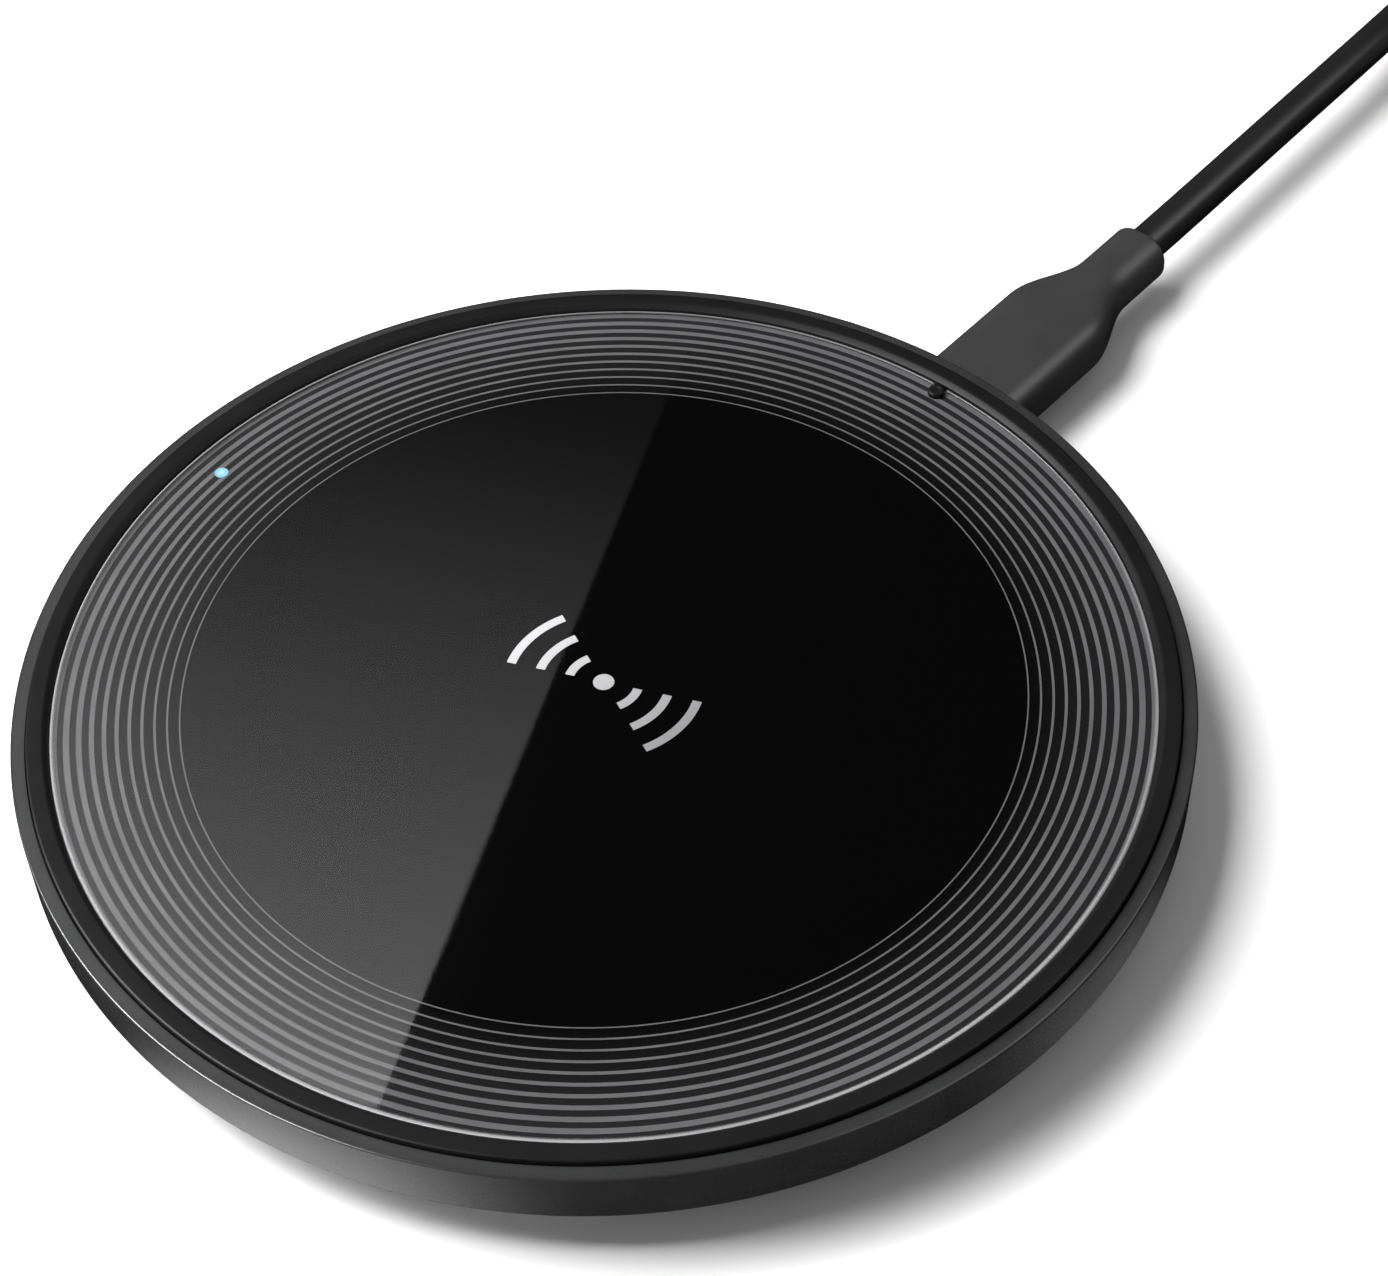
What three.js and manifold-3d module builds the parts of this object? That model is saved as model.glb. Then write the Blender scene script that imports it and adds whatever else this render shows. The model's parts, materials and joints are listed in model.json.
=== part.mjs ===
// A round wireless charging pad with its detachable USB-C to USB-A lead.
// Millimetres, +Z up. The origin is the centre of the pad's footprint on the surface it stands on,
// and +Y runs through the port, along the lead.
import * as THREE from "three";
import { mergeVertices } from "three/addons/utils/BufferGeometryUtils.js";
import Module from "manifold-3d";

const wasm = await Module();
wasm.setup();

// ---- pad, from the outside in ----
const PAD_RADIUS = 49.5;
const RIM_WIDTH = 1.25; // flat top of the outer shell, outside the anti-slip ring
const RIM_FILLET = 0.4;
const RING_WIDTH = 1.75; // anti-slip ring
const RING_TOP_INSET = 0.2; // the ring's inner wall leans outwards by this much
const RING_ROUND = 0.15;
const WALL = 1.8; // outer shell wall
const LIP = 1.4; // base cover's spigot, inside the shell wall
const BASE_TAPER = 4.1; // how far the base cover draws in from the seam to the foot
const BASE_WALL = 1.8; // base cover wall, measured level
const FIT = 0.1; // gap between parts that plug into each other
const SEAM = 0.1; // gap at the line where shell and base cover meet

// ---- pad, from the table up ----
const FOOT_PROUD = 0.5; // foot ring stands out of the base cover by this much
const FOOT_SEAT = 0.5; // and sits in a groove this deep
const BASE_FLOOR = 1.5;
const BOARD_STANDOFF = 0.37;
const BOARD_THICK = 1.0;
const CAVITY = 6.15; // clear height between the base cover's floor and the deck
const DECK = 1.0; // top deck of the outer shell
const ADHESIVE = 0.15;
const PRINT = 0.25; // printed sheet under the lens
const LENS = 0.5;
const RING_PROUD = 0.55; // ring over the lens, where a phone rests
const RIM_BELOW_LENS = 0.08;
const SEAM_BELOW_PORT = 0.2;
const LIP_HEIGHT = 1.5; // base cover's spigot above the seam

// ---- feet and screws ----
const FOOT_MARGIN = 3.3; // base cover outside the foot ring
const FOOT_WIDTH = 8;
const FOOT_FIT = 0.15;
const SCREW_COUNT = 4;
const SCREW_FIRST_ANGLE = 35;
const SCREW_HEAD_R = 2.1;
const SCREW_HEAD = 1.0;
const SCREW_SHANK_R = 1.1;
const SCREW_LENGTH = 4.5; // under the head
const SCREW_FIT = 0.05;
const SCREW_PAD_R = 3.2; // base cover's boss round each screw
const SCREW_PAD = 1.0;
const BOSS_R = 2.5; // shell's boss that takes the screw

// ---- coil stack ----
const COIL_OUTER = 24.4;
const COIL_TURNS = 8;
const COIL_PITCH = 1.7;
const WIRE_WIDTH = 1.35;
const COIL_THICK = 1.5;
const COIL_TAPE = 0.3;
const STACK_FIT = 0.05; // gap between the layers of the stack
const LEAD_R = 0.35;
const LEAD_SPACE = 0.9; // between coil and ferrite, where the inner lead runs out
const FERRITE_MARGIN = 1.2; // ferrite beyond the coil
const FERRITE = 1.4;
const CARRIER_FLOOR = 0.8;
const CARRIER_WALL = 0.9;
const BALLAST_INSET = 1.6; // ballast inside the ferrite's edge
const BALLAST_FIT = 0.15;

// ---- board ----
const BOARD_GAP = 2.4; // between the coil carrier and the board
const BOARD_EDGE_FIT = 0.35;
const BOARD_RIB = 1.2;
const LIGHT_INSET = 2.9; // status light inside the lens edge
const LIGHT_ANGLE = 183.8;
const LIGHT_PIPE_R = 0.62;
const LIGHT_FIT = 0.06;
const LED_HEIGHT = 0.6;
const PIN_R = 0.75; // locating pin in the lens edge
const PIN_INSET = 0.05;
const PIN_FIT = 0.06;
const PIN_DOWN = 0.05; // pin's top below the lens

// ---- USB-C receptacle and plug, standard sizes ----
const SOCKET = { width: 8.94, height: 3.26, length: 7.3, mouthWidth: 8.34, mouthHeight: 2.56, depth: 6.2 };
const SOCKET_RECESS = 0.4; // mouth behind the shell's outer face
const PORT_FIT = 0.15;
const TONGUE = { width: 6.69, height: 0.7, length: 4.45 };
const PLUG = { width: 8.25, height: 2.4, length: 6.65, wall: 0.28, seat: 2 };
const PLUG_GAP = 0.5; // plug body in front of the shell wall
const PLUG_SLOT_FIT = 0.1; // round the tongue
const PLUG_FIT = 0.04;
const PLUG_BODY = {
  width: 10.6, height: 5.7, drop: 0.4, straight: 14.6, taper: 7.4, neck: 6.3, neckWidth: 5.9,
  round: 1.6,
};

// ---- lead ----
const CORD = 3.8; // diameter
const CORD_SIDES = 8;
const JOIN = 0.3; // gap where one piece of the lead meets the next
const WIND_RADIUS = 22.8; // middle of the wound turns
const WIND_LANES = 3;
const WIND_LAYERS = 2;
const WIND_CENTRE = new THREE.Vector2(24.1, 152);
const TIE = { thick: 0.5, width: 6, gap: 0.3 };
const USB_A = {
  width: 15.6, height: 8, body: 24, round: 1.4, relief: 8, reliefRadius: 3.1,
  shellWidth: 12, shellHeight: 4.5, shell: 12, wall: 0.3, seat: 2, tongueHeight: 1.9, tongueInset: 0.3,
};
const CONTACT = { count: 4, width: 1.0, thick: 0.2, length: 7.5, inset: 1.2, spacing: 2.25 };

// ---- facets ----
const RIM_SIDES = 72; // round the pad's own edge
const INNER_SIDES = 48; // round the pieces inside

// ---- heights and radii that follow ----
const baseBottom = FOOT_PROUD;
const footTop = baseBottom + FOOT_SEAT;
const floorTop = baseBottom + BASE_FLOOR;
const boardBottom = floorTop + BOARD_STANDOFF;
const boardTop = boardBottom + BOARD_THICK;
const portZ = boardTop + SOCKET.height / 2;
const seamZ = portZ - SEAM_BELOW_PORT;
const deckBottom = floorTop + CAVITY;
const deckTop = deckBottom + DECK;
const printBottom = deckTop + ADHESIVE;
const lensBottom = printBottom + PRINT;
const lensTop = lensBottom + LENS;
const ringTop = lensTop + RING_PROUD;
const rimTop = lensTop - RIM_BELOW_LENS;
const grooveOuter = PAD_RADIUS - RIM_WIDTH;
const ringOuter = grooveOuter - FIT;
const ringInner = ringOuter - RING_WIDTH;
const lensRadius = ringInner - FIT;
const shellInner = PAD_RADIUS - WALL;
const lipOuter = shellInner - FIT;
const baseRimR = PAD_RADIUS - 0.6;
const baseFootR = baseRimR - BASE_TAPER;
const footOuter = baseFootR - FOOT_MARGIN;
const footInner = footOuter - FOOT_WIDTH;
const baseTop = seamZ - SEAM;
const taperPerMm = BASE_TAPER / (baseTop - baseBottom);
const bowlRadius = (z) => baseFootR + (z - baseBottom) * taperPerMm - BASE_WALL;
const boardOuter = bowlRadius(boardBottom) - BOARD_EDGE_FIT;
const screwRadius = footInner + FOOT_WIDTH / 2;
const screwHeadTop = footTop + SCREW_FIT + SCREW_HEAD;
const screwPadTop = floorTop + SCREW_PAD;
const coilTop = deckBottom - STACK_FIT - COIL_TAPE - STACK_FIT;
const coilBottom = coilTop - COIL_THICK;
const ferriteTop = coilBottom - LEAD_SPACE;
const ferriteBottom = ferriteTop - FERRITE;
const ferriteRadius = COIL_OUTER + FERRITE_MARGIN;
const carrierOuter = ferriteRadius + FIT + CARRIER_WALL;
const boardInner = carrierOuter + BOARD_GAP;
const boardMiddle = (boardInner + boardOuter) / 2;
const carrierTopFace = ferriteBottom - STACK_FIT;
const carrierBottom = carrierTopFace - CARRIER_FLOOR;
const pinRadius = lensRadius - PIN_R - PIN_INSET;
const socketMouthY = PAD_RADIUS - SOCKET_RECESS;
const plugFaceY = PAD_RADIUS + PLUG_GAP;
const plugTipY = plugFaceY - PLUG.length;
const plugEndY = plugFaceY + PLUG_BODY.straight + PLUG_BODY.taper + PLUG_BODY.neck;
const cordRadius = CORD / 2;
const windOuter = WIND_RADIUS + (WIND_LANES / 2) * CORD;
const windInner = WIND_RADIUS - (WIND_LANES / 2) * CORD;
const windLift = TIE.thick + TIE.gap;
const windTop = WIND_LAYERS * CORD + windLift;
const laneOuter = windOuter - cordRadius;

// ---- the free stretch of the lead, points on its centre line ----
const RUN_POINTS = [
  [0, 78.6, 5], [0, 84, 5], [-0.1, 95, 5], [-0.2, 106, 5], [-0.3, 116, 4.95],
  [-0.55, 122, 4.65], [-1, 127, 4.05], [-1.6, 131.5, 3.3], [-2.2, 137.2, 2.4],
];
const TAIL_POINTS = [
  [50.7, 137.2, 4.5], [50.7, 135.4, 4.2], [50.7, 133.3, 4.0],
];
const USB_A_X = 50.7;
const USB_A_REAR_Y = 133;

// ---- materials ----
const material = (color, roughness, metalness = 0) =>
  new THREE.MeshStandardMaterial({ color, roughness, metalness });
const plastic = material(0x2a2b2d, 0.5);
const rubber = material(0x17181a, 0.8);
const glossBlack = material(0x0b0b0c, 0.1);
const print = material(0x101011, 0.6);
const glue = material(0xc9c4b4, 0.7);
const lightPipe = material(0xbfeaf2, 0.3);
const copper = material(0xb5622e, 0.35, 1);
const ferrite = material(0x3a3a3c, 0.7);
const steel = material(0x8d9094, 0.4, 1);
const board = material(0x14502c, 0.5);
const chip = material(0x18181a, 0.6);
const ceramic = material(0xa98f6c, 0.6);
const nickel = material(0xb9bcc0, 0.3, 1);
const gold = material(0xc8a050, 0.3, 1);
const white = material(0xdcdcd8, 0.5);

// ---- building blocks ----
const turn = (degrees) => THREE.MathUtils.degToRad(degrees);

function toSolid(geometry) {
  const bare = geometry.clone();
  for (const name of ["normal", "uv"]) bare.deleteAttribute(name);
  const merged = mergeVertices(bare, 1e-4);
  return new wasm.Manifold(new wasm.Mesh({
    numProp: 3,
    vertProperties: merged.attributes.position.array,
    triVerts: new Uint32Array(merged.index.array),
  }));
}

function toGeometry(solid) {
  const mesh = solid.getMesh();
  const geometry = new THREE.BufferGeometry();
  geometry.setAttribute("position", new THREE.BufferAttribute(mesh.vertProperties, 3));
  geometry.setIndex(new THREE.BufferAttribute(mesh.triVerts, 1));
  geometry.computeVertexNormals();
  return geometry;
}

function cut(geometry, ...cutters) {
  const solid = cutters.reduce((kept, cutter) => kept.subtract(toSolid(cutter)), toSolid(geometry));
  return toGeometry(solid);
}

function join(geometry, ...others) {
  const solid = others.reduce((kept, other) => kept.add(toSolid(other)), toSolid(geometry));
  return toGeometry(solid);
}

// Turns a closed outline of [radius, z] points round the Z axis.
function revolve(outline, segments = INNER_SIDES) {
  const area = outline.reduce((sum, [r, z], i) => {
    const [nextR, nextZ] = outline[(i + 1) % outline.length];
    return sum + r * nextZ - nextR * z;
  }, 0);
  const ordered = area > 0 ? outline : [...outline].reverse();
  const points = [...ordered, ordered[0]].map(([r, z]) => new THREE.Vector2(r, z));
  return new THREE.LatheGeometry(points, segments).rotateX(Math.PI / 2);
}

const tube = (inner, outer, bottom, top, segments = INNER_SIDES) =>
  revolve([[inner, bottom], [outer, bottom], [outer, top], [inner, top]], segments);

const rod = (radius, bottom, top, x = 0, y = 0, segments = 16) =>
  new THREE.CylinderGeometry(radius, radius, top - bottom, segments)
    .rotateX(Math.PI / 2)
    .translate(x, y, (top + bottom) / 2);

const block = (width, depth, bottom, top, x = 0, y = 0) =>
  new THREE.BoxGeometry(width, depth, top - bottom).translate(x, y, (top + bottom) / 2);

// A rectangle with round corners, centred on the origin.
function roundedShape(width, height, radius) {
  const x = width / 2;
  const y = height / 2;
  const shape = new THREE.Shape();
  shape.absarc(x - radius, y - radius, radius, 0, Math.PI / 2);
  shape.absarc(radius - x, y - radius, radius, Math.PI / 2, Math.PI);
  shape.absarc(radius - x, radius - y, radius, Math.PI, 1.5 * Math.PI);
  shape.absarc(x - radius, radius - y, radius, 1.5 * Math.PI, 2 * Math.PI);
  return shape;
}

const slotShape = (width, height) => roundedShape(width, height, height / 2 - 0.01);

// Extrudes a shape along Y from one y to another; the shape's y becomes z, about the given height.
function alongY(shape, fromY, toY, z, x = 0, curveSegments = 4) {
  return new THREE.ExtrudeGeometry(shape, { depth: toY - fromY, bevelEnabled: false, curveSegments })
    .rotateX(Math.PI / 2)
    .translate(x, toY, z);
}

// A round cord through the points.
function cord(points, steps) {
  const path = new THREE.CatmullRomCurve3(points.map((p) => new THREE.Vector3(...p)), false, "centripetal");
  const section = new THREE.Shape();
  section.absarc(0, 0, cordRadius, 0, 2 * Math.PI);
  return new THREE.ExtrudeGeometry(section, { steps, extrudePath: path, curveSegments: CORD_SIDES / 2 });
}

const pad = new THREE.Group();
const lead = new THREE.Group();

function place(group, name, geometry, finish, x = 0, y = 0, z = 0, angle = 0) {
  const mesh = new THREE.Mesh(geometry, finish);
  mesh.name = name;
  mesh.position.set(x, y, z);
  mesh.rotation.z = turn(angle);
  group.add(mesh);
  return mesh;
}

const screwSpots = Array.from({ length: SCREW_COUNT }, (_, i) => {
  const mirrored = i % 2 ? 180 - SCREW_FIRST_ANGLE : SCREW_FIRST_ANGLE;
  const angle = turn(i < 2 ? mirrored : -mirrored);
  return [screwRadius * Math.cos(angle), screwRadius * Math.sin(angle)];
});
const lightRadius = lensRadius - LIGHT_INSET;
const lightSpot = [lightRadius * Math.cos(turn(LIGHT_ANGLE)), lightRadius * Math.sin(turn(LIGHT_ANGLE))];

const portCutter = () =>
  alongY(
    slotShape(SOCKET.width + 2 * PORT_FIT, SOCKET.height + 2 * PORT_FIT),
    socketMouthY - SOCKET.length - 1, PAD_RADIUS + 1, portZ,
  );

// ---- housing ----
function outerShell() {
  const wall = revolve([
    [0, deckBottom], [shellInner, deckBottom], [shellInner, seamZ], [PAD_RADIUS - 0.1, seamZ],
    [PAD_RADIUS, seamZ + 0.3], [PAD_RADIUS, rimTop - RIM_FILLET],
    [PAD_RADIUS - 0.12, rimTop - 0.12], [PAD_RADIUS - RIM_FILLET, rimTop],
    [grooveOuter, rimTop], [grooveOuter, deckTop], [0, deckTop],
  ], RIM_SIDES);
  const bosses = screwSpots.map(([x, y]) => rod(BOSS_R, screwPadTop + FIT, deckBottom + DECK / 2, x, y));
  const pilots = screwSpots.map(([x, y]) =>
    rod(SCREW_SHANK_R + SCREW_FIT, screwPadTop, screwHeadTop + SCREW_LENGTH + FIT, x, y, 12));
  const lightHole = rod(LIGHT_PIPE_R + LIGHT_FIT, deckBottom - 1, deckTop + 1, ...lightSpot);
  return cut(join(wall, ...bosses), ...pilots, lightHole, portCutter());
}

function baseCover() {
  const lipTop = seamZ + LIP_HEIGHT;
  const bowl = revolve([
    [0, baseBottom], [footInner - FOOT_FIT, baseBottom], [footInner - FOOT_FIT, footTop],
    [footOuter + FOOT_FIT, footTop], [footOuter + FOOT_FIT, baseBottom],
    [baseFootR, baseBottom], [baseRimR, baseTop], [lipOuter, baseTop], [lipOuter, lipTop],
    [lipOuter - LIP, lipTop], [lipOuter - LIP, baseTop], [bowlRadius(floorTop), floorTop], [0, floorTop],
  ], RIM_SIDES);
  const rib = tube(boardInner + BOARD_RIB, boardInner + 2 * BOARD_RIB, floorTop - 0.2, boardBottom);
  const pads = screwSpots.map(([x, y]) => rod(SCREW_PAD_R, floorTop - 0.2, screwPadTop, x, y));
  const heads = screwSpots.map(([x, y]) => rod(SCREW_HEAD_R + FIT, footTop - 1, screwHeadTop, x, y));
  const shanks = screwSpots.map(([x, y]) => rod(SCREW_SHANK_R + FIT, footTop, screwPadTop + 1, x, y, 12));
  return cut(join(bowl, rib, ...pads), ...heads, ...shanks, portCutter());
}

function antiSlipRing() {
  return revolve([
    [ringInner, deckTop], [ringOuter, deckTop], [ringOuter, ringTop - RING_ROUND],
    [ringOuter - RING_ROUND, ringTop], [ringInner + RING_TOP_INSET + RING_ROUND, ringTop],
    [ringInner + RING_TOP_INSET, ringTop - RING_ROUND], [ringInner, lensTop],
  ], RIM_SIDES);
}

// A disc of the top stack, open round the locating pin.
function notchedDisc(radius, bottom, top) {
  return cut(
    revolve([[0, bottom], [radius, bottom], [radius, top], [0, top]], RIM_SIDES),
    rod(PIN_R + PIN_FIT, bottom - 1, top + 1, 0, pinRadius),
    block(2 * (PIN_R + PIN_FIT), 2, bottom - 1, top + 1, 0, pinRadius + 1),
  );
}

const printedDisc = () =>
  cut(
    notchedDisc(lensRadius, printBottom, lensBottom),
    rod(LIGHT_PIPE_R + LIGHT_FIT, printBottom - 1, lensBottom + 1, ...lightSpot),
  );

function screw() {
  const tip = SCREW_HEAD + SCREW_LENGTH;
  return revolve([
    [0, 0], [SCREW_HEAD_R, 0], [SCREW_HEAD_R, SCREW_HEAD], [SCREW_SHANK_R, SCREW_HEAD],
    [SCREW_SHANK_R, tip - 0.4], [0.4, tip], [0, tip],
  ], 12);
}

function addHousing() {
  place(pad, "outer_shell", outerShell(), plastic);
  place(pad, "base_cover", baseCover(), plastic);
  place(pad, "anti_slip_ring", antiSlipRing(), rubber);
  place(pad, "cover_lens", notchedDisc(lensRadius, lensBottom, lensTop), glossBlack);
  place(pad, "printed_disc", printedDisc(), print);
  place(pad, "lens_adhesive", tube(ringInner - 6, ringInner - 4, deckTop, printBottom), glue);
  place(pad, "lens_locating_pin", rod(PIN_R, deckTop, lensTop - PIN_DOWN, 0, pinRadius), rubber);
  place(pad, "foot_ring", tube(footInner, footOuter, 0, footTop), rubber);
  screwSpots.forEach(([x, y], i) =>
    place(pad, `housing_screw_${i + 1}`, screw(), steel, x, y, footTop + SCREW_FIT));
}

// ---- coil stack ----
// A flat ribbon that winds inwards, one outline along its outer edge and back along its inner edge.
function spiralCoil() {
  const perTurn = 20;
  const edge = (shift) => Array.from({ length: COIL_TURNS * perTurn + 1 }, (_, i) => {
    const radius = COIL_OUTER - (COIL_PITCH * i) / perTurn - shift;
    const angle = (2 * Math.PI * i) / perTurn;
    return new THREE.Vector2(radius * Math.cos(angle), radius * Math.sin(angle));
  });
  const shape = new THREE.Shape([...edge(0), ...edge(WIRE_WIDTH).reverse()]);
  return new THREE.ExtrudeGeometry(shape, { depth: COIL_THICK, bevelEnabled: false })
    .translate(0, 0, coilBottom);
}

function coilCarrier() {
  const wallInner = carrierOuter - CARRIER_WALL;
  return revolve([
    [0, carrierBottom], [carrierOuter, carrierBottom], [carrierOuter, ferriteTop],
    [wallInner, ferriteTop], [wallInner, carrierTopFace], [0, carrierTopFace],
  ]);
}

// A round wire through the points, a few steps to each stretch.
function wire(points) {
  const path = new THREE.CatmullRomCurve3(points.map((p) => new THREE.Vector3(...p)), false, "centripetal");
  const section = new THREE.Shape();
  section.absarc(0, 0, LEAD_R, 0, 2 * Math.PI);
  const steps = 2 * points.length;
  return new THREE.ExtrudeGeometry(section, { steps, extrudePath: path, curveSegments: 3 });
}

function coilLead(startRadius, startZ, padY) {
  const outside = carrierOuter + 1.3;
  const end = boardInner + 2.2;
  return wire([
    [startRadius, padY, startZ], [outside - 1.2, padY, startZ], [outside - 0.4, padY, startZ],
    [outside + 0.9, padY, (startZ + boardTop) / 2], [end, padY, boardTop + LEAD_R + 0.15],
    [end + 2, padY, boardTop + LEAD_R + 0.15],
  ]);
}

function ballastPlate() {
  const radius = ferriteRadius - BALLAST_INSET;
  return rod(radius, floorTop + BALLAST_FIT, carrierBottom - BALLAST_FIT, 0, 0, INNER_SIDES);
}

function addCoilStack() {
  const tapeTop = deckBottom - STACK_FIT;
  place(pad, "coil_adhesive", tube(COIL_OUTER - 12, COIL_OUTER, tapeTop - COIL_TAPE, tapeTop), glue);
  place(pad, "charging_coil", spiralCoil(), copper);
  place(pad, "ferrite_shield", rod(ferriteRadius, ferriteBottom, ferriteTop, 0, 0, INNER_SIDES), ferrite);
  place(pad, "coil_carrier", coilCarrier(), white);
  place(pad, "ballast_plate", ballastPlate(), steel);
  const innerStart = COIL_OUTER - COIL_TURNS * COIL_PITCH - WIRE_WIDTH - 0.6;
  const innerLead = coilLead(innerStart, coilBottom - LEAD_SPACE / 2, -3);
  const outerLead = coilLead(COIL_OUTER + 0.6, coilBottom + COIL_THICK / 2, 0);
  place(pad, "coil_lead_inner", innerLead, copper, 0, 0, 0, 180);
  place(pad, "coil_lead_outer", outerLead, copper, 0, 0, 0, 180);
}

// ---- board ----
function mainBoard() {
  const holes = screwSpots.map(([x, y]) => rod(SCREW_PAD_R + FIT, boardBottom - 1, boardTop + 1, x, y, 16));
  return cut(tube(boardInner, boardOuter, boardBottom, boardTop), ...holes);
}

// A chip on the board, seated at a radius and an angle, with its sides square to the radius.
function addChip(name, radius, angle, width, depth, height, finish) {
  const x = radius * Math.cos(turn(angle));
  const y = radius * Math.sin(turn(angle));
  place(pad, name, block(width, depth, 0, height), finish, x, y, boardTop + 0.02, angle);
}

function addBoard() {
  place(pad, "main_board", mainBoard(), board);
  addChip("controller_ic", boardMiddle, 115, 6, 6, 0.9, chip);
  addChip("input_regulator_ic", boardMiddle, 66, 4, 4, 0.9, chip);
  addChip("power_inductor", boardMiddle, 5, 6.5, 6.5, 2.8, chip);
  addChip("board_crystal", boardMiddle, 128, 3.2, 2.5, 0.8, nickel);
  addChip("bridge_driver_1", boardMiddle, 232, 5, 6, 0.9, chip);
  addChip("bridge_driver_2", boardMiddle, 244, 5, 6, 0.9, chip);
  for (let i = 0; i < 4; i++) {
    addChip(`resonant_capacitor_${i + 1}`, boardMiddle, 262 + 8 * i, 5.7, 3.2, 2.2, ceramic);
  }
  addChip("input_capacitor", boardMiddle, 20, 3.2, 2.5, 1.8, ceramic);
  addChip("led_chip", lightRadius, LIGHT_ANGLE, 0.8, 1.6, LED_HEIGHT, white);
  place(pad, "led_light_pipe",
    rod(LIGHT_PIPE_R, boardTop + LED_HEIGHT + 0.3, lensBottom - 0.02, ...lightSpot), lightPipe);
  place(pad, "coil_thermistor", block(2, 1.2, ferriteTop + 0.05, coilBottom - 0.1, 0, 9), chip);
}

// ---- port ----
function socketShell() {
  const backY = socketMouthY - SOCKET.length;
  return cut(
    alongY(slotShape(SOCKET.width, SOCKET.height), backY, socketMouthY, portZ),
    alongY(slotShape(SOCKET.mouthWidth, SOCKET.mouthHeight), backY - 1, socketMouthY + 1, portZ),
  );
}

function socketTongue() {
  const backY = socketMouthY - SOCKET.length;
  const wallY = socketMouthY - SOCKET.depth;
  const wall = slotShape(SOCKET.mouthWidth - 2 * PLUG_FIT, SOCKET.mouthHeight - 2 * PLUG_FIT);
  return join(
    alongY(wall, backY, wallY, portZ),
    block(TONGUE.width, TONGUE.length + 0.2, portZ - TONGUE.height / 2, portZ + TONGUE.height / 2,
      0, wallY + TONGUE.length / 2 - 0.1),
  );
}

function addPort() {
  place(pad, "usb_c_receptacle_shell", socketShell(), nickel);
  place(pad, "usb_c_receptacle_tongue", socketTongue(), chip);
}

// ---- plug in the port ----
function plugShell() {
  const endY = plugFaceY + PLUG.seat;
  const bore = slotShape(PLUG.width - 2 * PLUG.wall, PLUG.height - 2 * PLUG.wall);
  return cut(
    alongY(slotShape(PLUG.width, PLUG.height), plugTipY, endY, portZ),
    alongY(bore, plugTipY - 1, endY + 1, portZ),
  );
}

function plugInsert() {
  const inside = PLUG.wall + PLUG_FIT;
  const filling = slotShape(PLUG.width - 2 * inside, PLUG.height - 2 * inside);
  const slotEndY = socketMouthY - SOCKET.depth + TONGUE.length + 0.4;
  const slotHalfHeight = TONGUE.height / 2 + PLUG_SLOT_FIT;
  return cut(
    alongY(filling, plugTipY + 0.2, plugFaceY + PLUG.seat, portZ),
    block(TONGUE.width + 2 * PLUG_SLOT_FIT, slotEndY - plugTipY + 1, portZ - slotHalfHeight,
      portZ + slotHalfHeight, 0, (slotEndY + plugTipY - 1) / 2),
  );
}

// The moulded plug body seen from above: straight sides, an S-curve in to the neck, a round end.
function plugBodyShape() {
  const half = PLUG_BODY.width / 2;
  const neck = PLUG_BODY.neckWidth / 2;
  const shoulder = PLUG_BODY.straight;
  const neckStart = shoulder + PLUG_BODY.taper;
  const end = neckStart + PLUG_BODY.neck;
  const bend = PLUG_BODY.taper * 0.45;
  const shape = new THREE.Shape();
  shape.moveTo(-half, 0);
  shape.lineTo(half, 0);
  shape.lineTo(half, shoulder);
  shape.bezierCurveTo(half, shoulder + bend, neck, neckStart - bend, neck, neckStart);
  shape.lineTo(neck, end);
  shape.lineTo(-neck, end);
  shape.lineTo(-neck, neckStart);
  shape.bezierCurveTo(-neck, neckStart - bend, -half, shoulder + bend, -half, shoulder);
  return shape;
}

function plugBody() {
  const { round, height, drop } = PLUG_BODY;
  const body = new THREE.ExtrudeGeometry(plugBodyShape(), {
    depth: height - 2 * round, bevelEnabled: true, bevelThickness: round, bevelSize: round,
    bevelOffset: -round, bevelSegments: 3, curveSegments: 4,
  }).translate(0, plugFaceY, portZ - drop - height / 2 + round);
  const seat = slotShape(PLUG.width + 2 * PLUG_FIT, PLUG.height + 2 * PLUG_FIT);
  return cut(body, alongY(seat, plugFaceY - 1, plugFaceY + PLUG.seat + FIT, portZ));
}

// ---- far end of the lead ----
function usbABody() {
  const { width, height, body, round, relief, reliefRadius, shellWidth, shellHeight, seat } = USB_A;
  const frontY = USB_A_REAR_Y - relief - body;
  const shape = roundedShape(width, height, round);
  const grip = alongY(shape, frontY, frontY + body, height / 2, USB_A_X, 3);
  const sleeve = new THREE.CylinderGeometry(reliefRadius, reliefRadius + 0.5, relief + 0.5, 20)
    .translate(USB_A_X, USB_A_REAR_Y - relief / 2 - 0.25, height / 2);
  const pocket = alongY(
    roundedShape(shellWidth + 2 * PLUG_FIT, shellHeight + 2 * PLUG_FIT, 0.4),
    frontY - 1, frontY + seat + FIT, height / 2, USB_A_X, 3,
  );
  return cut(join(grip, sleeve), pocket);
}

function usbAShell() {
  const { height, shellWidth, shellHeight, shell, wall, seat, body, relief } = USB_A;
  const frontY = USB_A_REAR_Y - relief - body;
  const outline = roundedShape(shellWidth, shellHeight, 0.4);
  const bore = roundedShape(shellWidth - 2 * wall, shellHeight - 2 * wall, 0.2);
  return cut(
    alongY(outline, frontY - shell, frontY + seat, height / 2, USB_A_X, 3),
    alongY(bore, frontY - shell - 1, frontY + seat + 1, height / 2, USB_A_X, 3),
  );
}

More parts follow.
